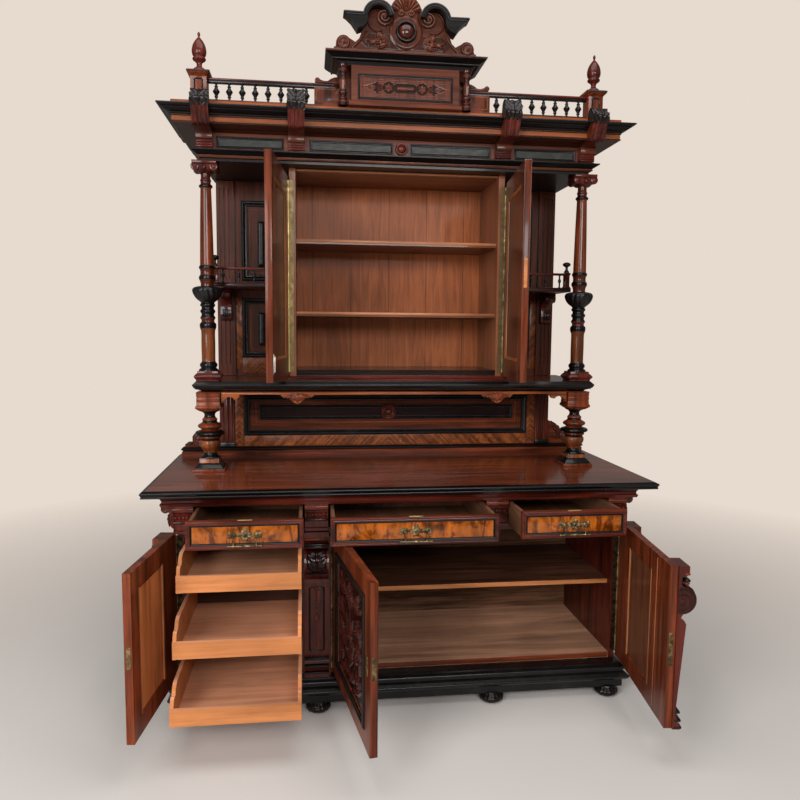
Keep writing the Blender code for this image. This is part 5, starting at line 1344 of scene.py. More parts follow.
def upper_door(side, word):
    body = f"upper_door_{word}"
    low, high = heights(body)
    xs = sorted((side * 0.0608, side * 0.3823))
    zs = (low + 0.075, high - 0.075)
    # Painted reflection: the left door's hinge is a brighter, lit copy of the brass; the right keeps the
    # dull brass.
    metal = "bright_brass" if side < 0 else "brass"
    mitred(f"{body}_frame", rectangle(xs, zs, 0.004), UPPER_FRONT, ovolo(0.026, 0.007, -0.008), "black",
        body)
    lath(f"{body}_field", (xs[0] + 0.046, xs[1] - 0.046), (UPPER_FRONT + 0.002, UPPER_FRONT + 0.0075),
        (zs[0] + 0.046, zs[1] - 0.046), "walnut", body, 0.005)
    mitred(f"{body}_inlay", clipped(xs, zs, 0.02, 0.062), UPPER_FRONT + 0.002, bead(0.0012), "amber_upright",
        body)
    slope = mm(((0, -1), (0, 6.2), (3, 6.2), (11, 2), (12, -1)))
    mitred(f"{body}_inner_frame", rectangle(xs, zs, 0.001), UPPER_BACK - 0.006, slope, "amber_upright", body,
        1)
    lath(f"{body}_leaf", (side * 0.4423, side * 0.4429), (UPPER_BACK - 0.02, UPPER_BACK - 0.001),
        (low + 0.013, high - 0.013), metal, body, 0.0002)
    lath(f"{body}_edge", (side * 0.0003, side * 0.001), (UPPER_FRONT + 0.001, UPPER_BACK - 0.001),
        (low + 0.002, high - 0.002), "red", body, 0.0003)
    if side < 0:
        lath(f"{body}_bolt_plate", (-0.03, -0.012), (UPPER_BACK - 0.001, UPPER_BACK + 0.0012),
            (low + 0.03, low + 0.1), "pale_metal", body, 0.0008)
        lath(f"{body}_bolt", (-0.0245, -0.0175), (UPPER_BACK, UPPER_BACK + 0.006),
            (low + 0.036, low + 0.092), "pale_metal", body, 0.0025)
    else:
        lath(f"{body}_lock", (0.0002, 0.0011), (UPPER_FRONT + 0.006, UPPER_BACK - 0.006), (1.585, 1.69),
            "oak", body, 0.0003)
    hinge_barrel(body, side * 0.4461, 0.432, low, high, metal)


def hinge_barrel(door, x, y, low, high, metal="brass"):
    """A hinge barrel cut into knuckles, a little shorter than its door."""
    low, high = low + 0.012, high - 0.012
    count = round((high - low) / 0.032)
    pitch = (high - low) / count
    shape = []
    for start in (low + pitch * i for i in range(count)):
        shape += [(0.0031, start), (0.0037, start + 0.0006), (0.0037, start + pitch - 0.0006),
            (0.0031, start + pitch)]
    turned(f"{door}_barrel", shape, (x, y), metal, steps=14, rounds=0)


class BUFFET_OT_upper_doors(bpy.types.Operator):
    """Adds mouldings, inner laths, catches and hinge work to the upper doors and cupboard"""

    bl_idname = "buffet.upper_doors"
    bl_label = "Dress the upper doors"

    def execute(self, context):
        for side, word in SIDES:
            upper_door(side, word)
        for door, x, y in (("left_door", -0.8501, 0.112), ("middle_door", -0.28405, 0.0829),
                ("right_door", 0.8501, 0.112)):
            hinge_barrel(door, x, y, DOOR_LOW, DOOR_HIGH)
        low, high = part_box("cupboard_back")
        lath("cupboard_ceiling", (low.x, high.x), (UPPER_BACK + 0.012, low.y - FRONT - 0.0005),
            (ARCHITRAVE_Z - 0.009, ARCHITRAVE_Z - 0.001), "ceiling", edge=0.001)
        lath("cupboard_strike", (-0.052, -0.036), (UPPER_BACK + 0.03, UPPER_BACK + 0.038),
            (SHELF_Z - 0.001, SHELF_Z + 0.026), "pale_metal", edge=0.003)
        # Pale laths over the top of the shelf fronts: a light edge, partly a painted highlight along the top
        # line.
        for number in (1, 2):
            low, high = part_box(f"cupboard_shelf_{number}")
            lath(f"cupboard_shelf_lath_{number}", (low.x, high.x),
                (low.y - FRONT - 0.003, low.y - FRONT + 0.003), (high.z - 0.011, high.z), "shelf_lath",
                edge=0.0025)
        return {"FINISHED"}


def pendant_carving(u, v):
    """Leaf pendant of the apron."""
    x, low = -0.412, SHELF_UNDER - 0.012
    fan = [((x, low + 0.006), angle, length) for angle, length in ((-90, 0.038), (-62, 0.036), (-118, 0.036),
        (-38, 0.04), (-142, 0.04), (-20, 0.054), (-160, 0.054))]
    return highest(each(leaf, u, v, fan, 0.011, 0.007, 3), dome(u, v, (x, low + 0.002), 0.008, 0.008))


def scroll_end_carving(u, v):
    """Scroll at the end of the niche's plinth."""
    b = v - TOP_Z - 0.036
    return highest(volute(u, b, (-0.858, 0.036), 0.029, 0.008, -1), leaf(u, b, (-0.836, 0.036), 52, 0.09,
        0.016, 0.008), leaf(u, b, (-0.832, 0.026), 14, 0.062, 0.012, 0.007), leaf(u, b, (-0.884, 0.02), 196,
        0.036, 0.008, 0.006, 2))


NICHE_MIDDLE = TOP_Z + 0.19
BAND_DEPTH = (NICHE_FRONT - 0.0008, NICHE_FRONT + 0.001)


def niche_ends():
    low, top, y = TOP_Z, SHELF_UNDER, NICHE_FRONT
    lath("niche_band_left", (-0.696, -0.66), BAND_DEPTH, (low + 0.0385, top - 0.002),
        herringbone("herringbone_niche_end", "amber", 0.678), edge=0.0004)
    lath("niche_pilaster_left", (-0.764, -0.7), (y - 0.006, y + 0.001), (low + 0.037, top - 0.001), "walnut",
        edge=0.002)
    first = lath("niche_reed_left_1", (-0.757, -0.745), (y - 0.012, y - 0.004), (low + 0.06, top - 0.016),
        "dark", edge=0.005)
    row(first, 3, (0.019, 0.0, 0.0))
    lath("niche_pilaster_foot_left", (-0.7645, -0.698), (y - 0.015, y + 0.001), (low + 0.037, low + 0.056),
        "black", edge=0.003)
    relief("niche_scroll_left", (-0.925, -0.766), (low + 0.037, low + 0.148), y + 0.004, 0.0018,
        scroll_end_carving, "carved")
    relief("apron_pendant_left", (-0.48, -0.344), (top - 0.048, top - 0.001), SHELF_FRONT + 0.034, 0.0014,
        pendant_carving, "carved_red")
    point = mm(((6.5, -2), (6.5, 3), (3, 6), (0.8, 7.5)))
    turned("niche_point_left", point, (-0.07, y + 0.018, NICHE_MIDDLE), "walnut", steps=4, rounds=0,
        axis="y")


class BUFFET_OT_niche(bpy.types.Operator):
    """Dresses the niche and the apron: frames, feather bands, pilasters, roundel and carving"""

    bl_idname = "buffet.niche"
    bl_label = "Dress the niche"

    def execute(self, context):
        low, top, middle, y = TOP_Z, SHELF_UNDER, NICHE_MIDDLE, NICHE_FRONT
        mitred("niche_frame", rectangle((-0.657, 0.657), (low + 0.087, top - 0.046)), y,
            ovolo(0.024, 0.009, -0.009), "black")
        mitred("niche_slot_frame", rectangle((-0.589, 0.589), (middle - 0.033, middle + 0.033)), y + 0.01,
            ovolo(0.014, 0.006, -0.007), "black")
        mitred("niche_inlay", rectangle((-0.606, 0.606), (middle - 0.048, middle + 0.048)), y + 0.01,
            bead(0.0013), "amber")
        for word, zs in (("low", (low + 0.0385, low + 0.085)), ("high", (top - 0.044, top - 0.002))):
            band = herringbone(f"herringbone_niche_{word}", "amber", 0.0, 0.009)
            lath(f"niche_band_{word}", (-0.657, 0.657), BAND_DEPTH, zs, band, edge=0.0004)
        paired(niche_ends)
        rings = mm(((37.5, 0), (37.5, 12), (34, 16.5), (31, 16.5), (29, 12), (26, 12), (24.5, 16), (21, 16),
            (19.5, 12), (16, 12), (14.5, 18), (9, 21), (3, 22)))
        turned("niche_roundel_rings", rings, (0.0, y + 0.014, middle + 0.0003), "dark", steps=56, axis="y")
        lath("apron_lath", (-0.712, 0.712), (SHELF_FRONT + 0.031, SHELF_FRONT + 0.036),
            (top - 0.01, top - 0.002), "amber", edge=0.0022)
        bead_runs("hutch_shelf_bead", 0.8165, SHELF_FRONT, SHELF_FRONT + 0.42, SHELF_UNDER, 0.0025,
            ((0.0, 0.026, 0.034), (-0.01, 0.013, 0.019)))
        bead_runs("slab_bead", 0.95, 0.0, 0.8, TOP_Z, 0.003, ((-0.001, -0.0125, -0.0045),
            (-0.004, -0.026, -0.018)))
        return {"FINISHED"}


def plate_carving(middle, height):
    """Pull plate of a drawer: a heart with a keyhole between two roses."""
    def carving(u, v):
        a, b = np.abs(u - middle), v - height
        rose = (0.038, 0.0)
        leaves = (((0.0, 0.006), 74, 0.019, 0.006, 0.004), ((0.002, -0.006), -70, 0.017, 0.006, 0.004),
            ((0.008, 0.0), 20, 0.018, 0.005, 0.004), ((0.008, 0.0), -24, 0.018, 0.005, 0.004),
            ((0.044, 0.002), 34, 0.017, 0.005, 0.0035), ((0.044, -0.002), -34, 0.017, 0.005, 0.0035),
            ((0.046, 0.0), 0, 0.013, 0.0045, 0.004))
        domes = (((0.0, 0.002), 0.0145, 0.003, 1.35), ((0.0, 0.0), 0.006, 0.0062), (rose, 0.007, 0.0068),
            (rose, 0.0115, 0.003))
        slot = (np.hypot(a, b - 0.0015) < 0.0016) | ((a < 0.0009) & (b < 0.0015) & (b > -0.004))
        stem = plateau(0.0042 - np.abs(b), 0.003, 0.0022) * (a < 0.05)
        return np.where(slot, 0.0015, highest(stem, each(leaf, a, b, leaves, 2), each(dome, a, b, domes),
            ring(a, b, rose, 0.009, 0.005, 0.0045)))

    return carving


def drawer_bail(word, middle, height, depth):
    body = f"{word}_bail"
    low = height - 0.035
    bar = mm(((1.2, -59), (3.2, -57), (3.6, -54), (2.4, -51), (2.2, -44), (3, -41), (4, -38), (3, -35),
        (2.2, -31), (2.4, -16), (3.2, -9), (4.4, -4), (5, 0)))
    bar += [(radius, -x) for radius, x in reversed(bar[:-1])]
    parts = [turned(f"{body}_bar", bar, (middle, depth, low), "brass", body, 14, rounds=1, axis="x")]
    arm = mm(((3.6, 3.4), (4, 1), (2.6, -6), (2.2, -12), (3.4, -16), (2.2, -20), (2.4, -29), (3.6, -34),
        (3, -38.4)), height)
    for side, end in SIDES:
        spot = (middle + side * 0.038, depth)
        parts.append(turned(f"{body}_arm_{end}", arm, spot, "brass", body, 14, rounds=1))
    for obj in parts:
        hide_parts(f"{word}_drawer_bail")


def dress_drawer(word, xs, shift):
    body, zs, y = f"{word}_drawer", (DRAWER_LOW, DRAWER_HIGH), DRAWER_FACE
    middle, height = (xs[0] + xs[1]) / 2, (DRAWER_LOW + DRAWER_HIGH) / 2 - 0.002
    lip = mitred(f"{body}_lip", rectangle(xs, zs, -0.0006), y, ovolo(0.011, 0.003), "dark_level", body)
    mitred(f"{body}_moulding", rectangle(xs, zs, -0.012), y + 0.004, ovolo(0.0085, 0.0055, -0.001), "black",
        body)
    lath(f"{body}_veneer", (xs[0] + 0.013, xs[1] - 0.013), (y + 0.0034, y + 0.0046),
        (zs[0] + 0.013, zs[1] - 0.013), burr_veneer(f"burr_{word}", shift), body, 0.0003)
    lath(f"{body}_lock", (middle - 0.024, middle + 0.024), (y + 0.003, y + 0.013),
        (DRAWER_HIGH - 0.0006, DRAWER_HIGH + 0.0008), "bright_brass", body, 0.0004)
    pull = relief(f"{body}_plate", (middle - 0.06, middle + 0.06), (height - 0.025, height + 0.027),
        y + 0.0037, 0.0011, plate_carving(middle, height), "brass", body, sink=0.0002, depth=0.0006)
    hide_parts(f"{body}_pull")
    drawer_bail(word, middle, height, y - 0.0067)


class BUFFET_OT_drawers(bpy.types.Operator):
    """Adds lippings, veneers, lock plates, pulls and bails to the three drawers"""

    bl_idname = "buffet.drawers"
    bl_label = "Dress the drawers"

    def execute(self, context):
        dress_drawer("left", (-0.777, -0.38605), 0.7)
        dress_drawer("middle", (-0.29455, 0.29455), 3.0)
        dress_drawer("right", (0.38605, 0.777), 5.3)
        return {"FINISHED"}


def foliage_carving(u, v):
    """The middle door's panel: a vase of leaves that climbs in scrolls, the same on both sides."""
    a = np.abs(u - 0.00725)
    heart = (0.0, 0.412)
    stems = (((0.0, 0.25), (0.0, 0.565)), ((0.004, 0.3), (0.06, 0.345)), ((0.06, 0.345), (0.12, 0.33)),
        ((0.004, 0.4), (0.07, 0.44)), ((0.07, 0.44), (0.125, 0.425)), ((0.004, 0.49), (0.06, 0.528)))
    scrolls = (((0.128, 0.302), 0.034, 0.0085, -1), ((0.13, 0.398), 0.034, 0.0085, -1),
        ((0.096, 0.545), 0.03, 0.0085, 1), ((0.05, 0.388), 0.02, 0.0085, 1), ((0.052, 0.282), 0.02, 0.0085,
        1))
    leaves = (((0.02, 0.315), 62, 0.07, 0.016), ((0.06, 0.345), 24, 0.09, 0.018),
        ((0.1, 0.345), 74, 0.056, 0.014), ((0.15, 0.33), 78, 0.062, 0.013), ((0.02, 0.415), 66, 0.074,
        0.016), ((0.07, 0.44), 30, 0.092, 0.018), ((0.11, 0.44), 84, 0.06, 0.014),
        ((0.152, 0.425), 82, 0.066, 0.013), ((0.02, 0.505), 76, 0.07, 0.015), ((0.06, 0.528), 52, 0.056,
        0.013), ((0.124, 0.53), 30, 0.058, 0.013), ((0.118, 0.56), 64, 0.04, 0.011),
        ((0.01, 0.258), 22, 0.08, 0.015), ((0.06, 0.252), 6, 0.08, 0.013), ((0.12, 0.262), 30, 0.062, 0.013),
        ((0.016, 0.262), 52, 0.044, 0.012), ((0.15, 0.49), -10, 0.04, 0.012),
        ((0.09, 0.49), 8, 0.052, 0.012), ((0.0, 0.545), 90, 0.05, 0.016))
    return highest(plateau(boxed(u, v, (-0.189, 0.204), (0.223, 0.599)), 0.002, 0.0012),
        dome(a, v, heart, 0.026, 0.012, 1.2), ring(a, v, heart, 0.03, 0.008, 0.008),
        each(ridge, a, v, stems, 0.009, 0.006), each(volute, a, v, scrolls), each(leaf, a, v, leaves, 0.01))


def escutcheon_carving(u, v):
    """Key plate of the middle door, with its keyhole."""
    a = np.abs(u - 0.2635)
    far = np.hypot(a, np.clip(np.abs(v - 0.415) - 0.026, 0, 1))
    key = (np.hypot(a, v - 0.42) < 0.0022) | ((a < 0.0011) & (v < 0.42) & (v > 0.411))
    return np.where(key, 0.0002, plateau(0.006 - far, 0.0022, 0.0026))


PANEL_ZS = (0.2, 0.6225)


def door_window(door, xs):
    """Black moulding round a door's front panel, and a light frame round its inner one."""
    mitred(f"{door}_moulding", rectangle(xs, PANEL_ZS, 0.004), DOOR_FRONT, ovolo(0.024, 0.007, -0.01),
        "black", door)
    slope = mm(((0, -1), (0, 4.3), (3, 4.3), (10, 1.5), (11, -1)))
    mitred(f"{door}_inner_frame", rectangle(xs, PANEL_ZS, 0.001), DOOR_BACK - 0.004, slope, "red", door, 1)


def door_panel(door, xs):
    """Raised field in front, and two light laths inside."""
    low, high = PANEL_ZS
    lath(f"{door}_field", (xs[0] + 0.04, xs[1] - 0.04), (DOOR_FRONT - 0.001, DOOR_FRONT + 0.006),
        (low + 0.04, high - 0.04), "walnut", door, 0.006)
    for number, x in ((1, xs[0]), (2, xs[1] - 0.013)):
        lath(f"{door}_inner_lath_{number}", (x, x + 0.013), (DOOR_BACK - 0.0045, DOOR_BACK - 0.0002),
            PANEL_ZS, "bright_lath", door, 0.0012)


def edge_lock(door, x, zs, side):
    """A lock plate let into the free edge of a door."""
    lath(f"{door}_lock", (x - side * 0.0008, x + side * 0.0006), (DOOR_FRONT + 0.006, DOOR_BACK - 0.005), zs,
        "brass", door, 0.0004)


class BUFFET_OT_base_doors(bpy.types.Operator):
    """Carves and dresses the three lower doors, with their mouldings, laths and locks"""

    bl_idname = "buffet.base_doors"
    bl_label = "Dress the base doors"

    def execute(self, context):
        left, right, middle = (-0.7033, -0.4615), (0.4675, 0.7203), "middle_door"
        for door, xs in (("left_door", left), (middle, (-0.214, 0.2285)), ("right_door", right)):
            door_window(door, xs)
        door_panel("left_door", left)
        door_panel("right_door", right)
        relief("middle_door_carving", (-0.19, 0.2045), (0.222, 0.6), DOOR_FRONT + 0.004, 0.0021,
            foliage_carving, "carved_panel", middle)
        mitred("middle_door_bead", rectangle((-0.193, 0.2075), (0.219, 0.603)), DOOR_FRONT + 0.0045,
            bead(0.003, 10), "red", middle)
        lath("middle_door_edge", (0.2978, 0.2995), (DOOR_FRONT + 0.0006, DOOR_BACK - 0.0006),
            (DOOR_LOW + 0.001, DOOR_HIGH - 0.001), "red", middle, 0.0005)
        relief("middle_door_escutcheon", (0.2565, 0.2705), (0.381, 0.449), DOOR_FRONT, 0.0008,
            escutcheon_carving, "brass", middle, sink=0.0002, depth=0.001)
        edge_lock("left_door", -0.39545, (0.385, 0.455), 1)
        edge_lock("right_door", 0.3025, (0.355, 0.465), -1)
        edge_lock(middle, 0.2992, (0.385, 0.455), 1)
        lath("right_door_inlay", (0.417, 0.422), (DOOR_BACK - 0.0012, DOOR_BACK + 0.0007),
            (BOTTOM_TOP + 0.002, DOOR_HIGH - 0.012), "bright_lath", "right_door", 0.0005)
        return {"FINISHED"}


def drop_carving(u, v):
    """Drop on a pilaster: a diamond with beads above and below."""
    a = np.abs(u)
    beads = [((0.0, z), radius, 0.0036) for z, radius in ((0.19, 0.005), (0.205, 0.0042), (0.218, 0.0034),
        (0.11, 0.005), (0.096, 0.0042), (0.084, 0.0034))]
    return highest(plateau(0.011 - a - 0.42 * np.abs(v - 0.15), 0.004, 0.0038), each(dome, a, v, beads),
        each(ridge, a, v, (((0.0, 0.226), (0.0, 0.252)), ((0.0, 0.04), (0.0, 0.078))), 0.004, 0.0028),
        leaf(a, v, (0.0, 0.254), 72, 0.026, 0.006, 0.0035, 2), leaf(a, v, (0.0, 0.262), 90, 0.022, 0.005,
        0.0035, 2))


ROLL, TAPER, PILASTER_HALF = 0.046, 0.0728, 0.045
ROLL_Z, ROLL_BACK = DOOR_HIGH - 0.112, 0.014
PILASTER_IN, PILASTER_OUT = 0.3403, 0.8013
PILASTER_BACK, ASTRAGAL_BACK = DOOR_FRONT + 0.004, DOOR_FRONT - 0.0003


def base_pilaster(name, x, back, body):
    def leafed(across, along):
        u = 2 * across - 1
        a = np.abs(u)
        angle = np.radians(-80 + 160 * along)
        rib = 0.003 * np.exp(-(u / 0.1) ** 2)
        vein = 0.0026 * np.abs(np.cos(4 * pi * (along - 0.3 * a))) * np.clip(2 * a, 0, 1)
        reach = ROLL + 0.0006 + (0.0008 + rib + vein) * np.clip((1.0 - a) / 0.08, 0, 1)
        wide = (PILASTER_HALF - 0.004) * (0.95 - 0.1 * np.abs(np.sin(3 * pi * along)))
        y = back - ROLL_BACK - reach * np.cos(angle)
        return np.stack([x + u * wide, y, ROLL_Z + reach * np.sin(angle)], axis=1)

    shell_of(28, 44, leafed)
    piece(f"{name}_leaf", "carved_dark", body, angle=50.0)
    xs = (x - PILASTER_HALF - 0.001, x + PILASTER_HALF + 0.001)
    caps = ((0.03, 0.022, 0.037, "red_level"), (0.052, 0.043, 0.038, "black"),
        (0.06, 0.053, 0.036, "red_level"))
    for number, (low, high, out, finish) in enumerate(caps, 1):
        lath(f"{name}_cap_{number}", xs, (back - out, back - 0.02), (DOOR_HIGH - low, DOOR_HIGH - high),
            finish, body, 0.003)
    foot = Matrix.Translation((x, back - 0.009, DOOR_LOW + 0.066)) @ Matrix.Rotation(TAPER, 4, "X")
    mitred(f"{name}_panel", clipped((-0.03, 0.03), (0.016, 0.276), 0.008), 0.0, ovolo(0.007, 0.0035),
        "black", body, place=foot)
    relief(f"{name}_drop", (-0.018, 0.018), (0.036, 0.288), 0.0, 0.0011, drop_carving, "carved_red", body,
        place=foot)
    for number, (z, out) in enumerate(((0.058, 0.024), (0.03, 0.028), (0.006, 0.031)), 1):
        lath(f"{name}_step_{number}", xs, (back - out, back - 0.004),
            (DOOR_LOW + z - 0.005, DOOR_LOW + z + 0.004), "black", body, 0.003)


def spiral(name, x, way, back, body):
    """Spiral on the side of a pilaster's roll."""
    centre = (way * (back - ROLL_BACK), ROLL_Z)

    def carving(u, v):
        return volute(u, v, centre, ROLL - 0.001, 0.0026, way, 2.6) * (way * u < back - 0.001)

    xs, zs = ((at - 0.047, at + 0.047) for at in centre)
    relief(name, xs, zs, -way * x, 0.0016, carving, "carved_dark", body, sink=0.0004, depth=0.0012,
        place=Matrix.Rotation(radians(90.0 * way), 4, "Z"))


class BUFFET_OT_pilasters(bpy.types.Operator):
    """Carves the four base pilasters: leafed roll, tapered panel with a drop, and cap"""

    bl_idname = "buffet.pilasters"
    bl_label = "Carve the pilasters"

    def execute(self, context):
        left, right = "left_door", "right_door"
        base_pilaster("fixed_pilaster_front", -PILASTER_IN, PILASTER_BACK, "cabinet")
        base_pilaster("left_door_pilaster_front", -PILASTER_OUT, PILASTER_BACK, left)
        base_pilaster("right_door_pilaster_front", PILASTER_OUT, PILASTER_BACK, right)
        base_pilaster("right_door_astragal_front", PILASTER_IN, ASTRAGAL_BACK, right)
        spiral("right_door_astragal_volute_1", PILASTER_IN - PILASTER_HALF, -1, ASTRAGAL_BACK, right)
        spiral("right_door_astragal_volute_2", PILASTER_IN + PILASTER_HALF, 1, ASTRAGAL_BACK, right)
        spiral("left_door_pilaster_volute_1", -PILASTER_OUT - PILASTER_HALF, -1, PILASTER_BACK, left)
        spiral("right_door_outer_volute_1", PILASTER_OUT + PILASTER_HALF, 1, PILASTER_BACK, right)
        return {"FINISHED"}


ZONE_LOW, ZONE_RISE = DRAWER_LOW - 0.0006, TOP_UNDER - DRAWER_LOW
BRACKET_FACE = CARCASS_FRONT - 0.053


def zone_height(share):
    """Height at a share of the drawer zone."""
    return ZONE_LOW + share * ZONE_RISE


def brackets():
    shape = mm(((6.2, -4), (6.2, 1), (5, 4.5), (2.8, 6.2), (0.8, 6.6)))
    start = -0.3703
    first = turned("bracket_bead_1", shape, (start, BRACKET_FACE + 0.016, zone_height(0.57)), "dark",
        steps=16, axis="y")
    places = [centre + pitch * i for centre, pitch in ((-0.3403, 0.015), (0.3403, 0.015), (-0.816, 0.0135),
        (0.816, 0.0135)) for i in range(-2, 3)]
    for number, x in enumerate(places[1:], 2):
        repeat(first, f"bracket_bead_{number}", Matrix.Translation((x - start, 0, 0)))
    spans = ((-0.852, -0.78), (-0.383, -0.2976), (0.2976, 0.383), (0.78, 0.852))
    for number, (x0, x1) in enumerate(spans, 1):
        lath(f"bracket_cap_{number}", (x0 - 0.0015, x1 + 0.0015),
            (BRACKET_FACE - 0.0025, BRACKET_FACE + 0.012), (zone_height(0.86), zone_height(0.93)),
            "red_level", edge=0.003)
        lath(f"bracket_foot_{number}", (x0 - 0.001, x1 + 0.001), (BRACKET_FACE + 0.005, BRACKET_FACE + 0.02),
            (zone_height(0.38), zone_height(0.44)), "black", edge=0.0028)


def ear_carving(u, v):
    return highest(volute(u, v, (-0.886, zone_height(0.82)), 0.0165, 0.006, -1, 2.0),
        leaf(u, v, (-0.868, zone_height(0.7)), -96, 0.056, 0.01, 0.005),
        ridge(u, v, (-0.87, zone_height(0.95)), (-0.896, zone_height(0.97)), 0.005, 0.004))


def base_ends():
    relief("base_ear_left", (-0.904, -0.854), (zone_height(0.13), zone_height(0.99)), CARCASS_FRONT, 0.0013,
        ear_carving, "carved_dark", slot="walnut", depth=0.002)

    def petals(angle, way):
        return 1 + 0.05 * np.abs(np.sin(7 * angle)) * np.clip(way / 0.01, 0, 1) - 0.03

    foot = mm(((30, 0.5), (42, 5), (47.5, 14), (45.5, 24), (36, 31), (34, 34.5)))
    bun = turned("bun_foot_left_1", foot, (-0.802, 0.075), "carved_black", steps=84, lobes=petals)
    repeat(bun, "bun_foot_left_2", Matrix.Translation((0.467, 0, 0)))
    repeat(bun, "bun_foot_left_3", Matrix.Translation((0, 0.6785, 0)))


class BUFFET_OT_carcass(bpy.types.Operator):
    """Adds bracket beads, ear scrolls, carved feet, plinth beads and the laths inside the base"""

    bl_idname = "buffet.carcass"
    bl_label = "Dress the base"

    def execute(self, context):
        brackets()
        paired(base_ends)
        bead_runs("plinth_bead", 0.872, 0.045, 0.76, PLINTH_TOP - 0.094, 0.003,
            ((0.006, 0.0405, 0.0505), (0.0, 0.0745, 0.0855)))
        low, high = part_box("plinth")
        lath("plinth_back_board", (low.x + 0.03, high.x - 0.03), (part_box("base_back")[0].y - FRONT,
            high.y - FRONT - 0.004), (PLINTH_TOP - 0.012, PLINTH_TOP - 0.0005), "black")
        low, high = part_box("base_bottom")
        lath("base_bottom_edge", (low.x + 0.001, high.x - 0.001),
            (low.y - FRONT - 0.0015, low.y - FRONT + 0.004), (low.z + 0.001, high.z - 0.0004), "red_level",
            edge=0.002)
        low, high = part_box("base_shelf")
        lath("base_shelf_edge", (low.x + 0.0005, high.x - 0.0005),
            (low.y - FRONT - 0.002, low.y - FRONT + 0.004), (low.z, high.z), "oak", edge=0.002)
        return {"FINISHED"}


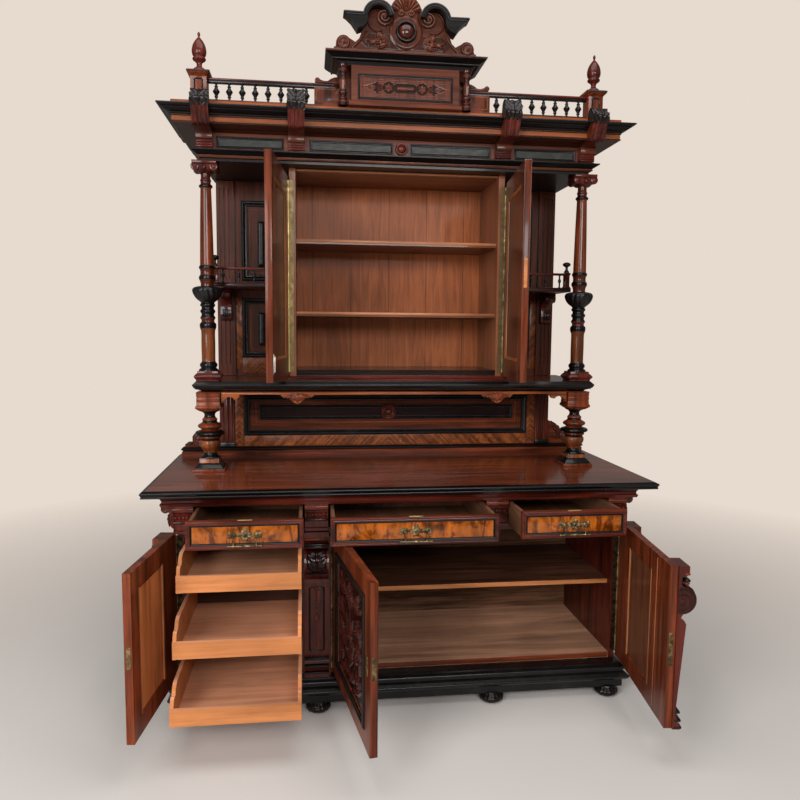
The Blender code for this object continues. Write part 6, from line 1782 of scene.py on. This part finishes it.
class BUFFET_OT_stage(bpy.types.Operator):
    """Sets the floor, the soft light and the camera"""

    bl_idname = "buffet.stage"
    bl_label = "Set the stage"

    def lamp(self, name, place, aim, size, power):
        data = bpy.data.lights.new(name, "AREA")
        data.shape = "RECTANGLE"
        data.size, data.size_y = size
        data.energy = power
        lamp = bpy.data.objects.new(name, data)
        bpy.context.scene.collection.objects.link(lamp)
        lamp.location = place
        lamp.rotation_euler = (Vector(aim) - Vector(place)).to_track_quat("-Z", "Y").to_euler()

    def surround(self, stage):
        """Pale where the camera looks at it, and an even light elsewhere."""
        world = bpy.data.worlds.new("surround")
        bpy.context.scene.world = world
        world.use_nodes = True
        tree = world.node_tree
        out = tree.nodes["World Output"]
        light = tree.nodes["Background"]
        light.inputs["Color"].default_value = (*stage.sky, 1.0)
        light.inputs["Strength"].default_value = stage.ambient
        seen = tree.nodes.new("ShaderNodeBackground")
        seen.inputs["Color"].default_value = (*stage.wall, 1.0)
        ray = tree.nodes.new("ShaderNodeLightPath")
        blend = tree.nodes.new("ShaderNodeMixShader")
        tree.links.new(ray.outputs["Is Camera Ray"], blend.inputs[0])
        tree.links.new(light.outputs[0], blend.inputs[1])
        tree.links.new(seen.outputs[0], blend.inputs[2])
        tree.links.new(blend.outputs[0], out.inputs["Surface"])

    def floor_material(self, stage):
        """Pale near the cabinet, and fading into the surround further off."""
        recipe = Recipe("pale_floor", roughness=0.7, specular=0.2)
        stops = [(0.3, tint(stage.floor, 0.98)), (0.7, tint(stage.floor, 1.02))]
        recipe.fill(recipe.shader, {"Base Color": recipe.ramp(recipe.noise(recipe.spot, 1.4), stops)})
        far = recipe.node("ShaderNodeVectorMath", {0: recipe.spot}, operation="LENGTH").outputs["Value"]
        share = recipe.scaled(far, 0.0, 1.0, 1.2, 4.2)
        ray = recipe.node("ShaderNodeLightPath").outputs["Is Camera Ray"]
        glow = recipe.node("ShaderNodeEmission", {"Color": tuple(stage.wall)})
        inputs = {0: recipe.both(share, ray), 1: recipe.shader.outputs[0], 2: glow.outputs[0]}
        blend = recipe.node("ShaderNodeMixShader", inputs)
        recipe.fill(recipe.tree.nodes["Material Output"], {"Surface": blend.outputs[0]})
        return recipe.material

    def execute(self, context):
        stage = context.scene.buffet_stage
        begin()
        bpy.ops.mesh.primitive_plane_add(size=60.0, location=(0.0, 0.0, -0.0005))
        floor = context.object
        floor.name = "floor"
        floor.data.materials.append(self.floor_material(stage))
        self.surround(stage)
        aim = (0.0, FRONT + 0.3, 1.2)
        self.lamp("top_lamp", (0.0, FRONT - 0.9, 4.3), aim, (3.6, 2.2), stage.top)
        self.lamp("key_lamp", (-2.7, FRONT - 3.6, 2.3), aim, (1.8, 2.2), stage.key)
        self.lamp("front_lamp", (0.5, FRONT - 4.6, 2.7), aim, (2.0, 1.0), stage.fill)
        data = bpy.data.cameras.new("camera")
        data.lens = stage.lens
        camera = bpy.data.objects.new("camera", data)
        context.scene.collection.objects.link(camera)
        look = Vector((sin(stage.yaw) * cos(stage.pitch), cos(stage.yaw) * cos(stage.pitch),
            sin(stage.pitch)))
        right = Vector((cos(stage.yaw), -sin(stage.yaw), 0.0))
        up = right.cross(look)
        right, up = (cos(stage.roll) * right + sin(stage.roll) * up,
            cos(stage.roll) * up - sin(stage.roll) * right)
        turn = Matrix((right, up, -look)).transposed().to_4x4()
        camera.matrix_world = Matrix.Translation((stage.camera_x, FRONT - stage.camera_y,
            stage.camera_z)) @ turn
        context.scene.camera = camera
        context.scene.view_settings.view_transform = "Standard"
        return {"FINISHED"}


OPERATORS = (BUFFET_OT_finishes, BUFFET_OT_crest, BUFFET_OT_pediment, BUFFET_OT_columns,
    BUFFET_OT_balustrades, BUFFET_OT_wings, BUFFET_OT_cornice, BUFFET_OT_upper_doors, BUFFET_OT_niche,
    BUFFET_OT_drawers, BUFFET_OT_base_doors, BUFFET_OT_pilasters, BUFFET_OT_carcass, BUFFET_OT_stage)


class BUFFET_PT_panel(bpy.types.Panel):
    """Lists the building steps and the settings"""

    bl_idname = "BUFFET_PT_panel"
    bl_label = "Buffet cabinet"
    bl_space_type = "VIEW_3D"
    bl_region_type = "UI"
    bl_category = "Buffet"

    def draw(self, context):
        for operator in OPERATORS:
            self.layout.operator(operator.bl_idname)
        for settings in (context.scene.buffet_finish, context.scene.buffet_stage):
            for key in settings.__annotations__:
                self.layout.prop(settings, key)


CLASSES = (FinishSettings, StageSettings, *OPERATORS, BUFFET_PT_panel)


def register():
    for cls in CLASSES:
        bpy.utils.register_class(cls)
    bpy.types.Scene.buffet_finish = PointerProperty(type=FinishSettings)
    bpy.types.Scene.buffet_stage = PointerProperty(type=StageSettings)


def unregister():
    del bpy.types.Scene.buffet_stage
    del bpy.types.Scene.buffet_finish
    for cls in reversed(CLASSES):
        bpy.utils.unregister_class(cls)


def main():
    register()
    for operator in OPERATORS:
        group, name = operator.bl_idname.split(".")
        getattr(getattr(bpy.ops, group), name)()


if __name__ == "__main__":
    main()
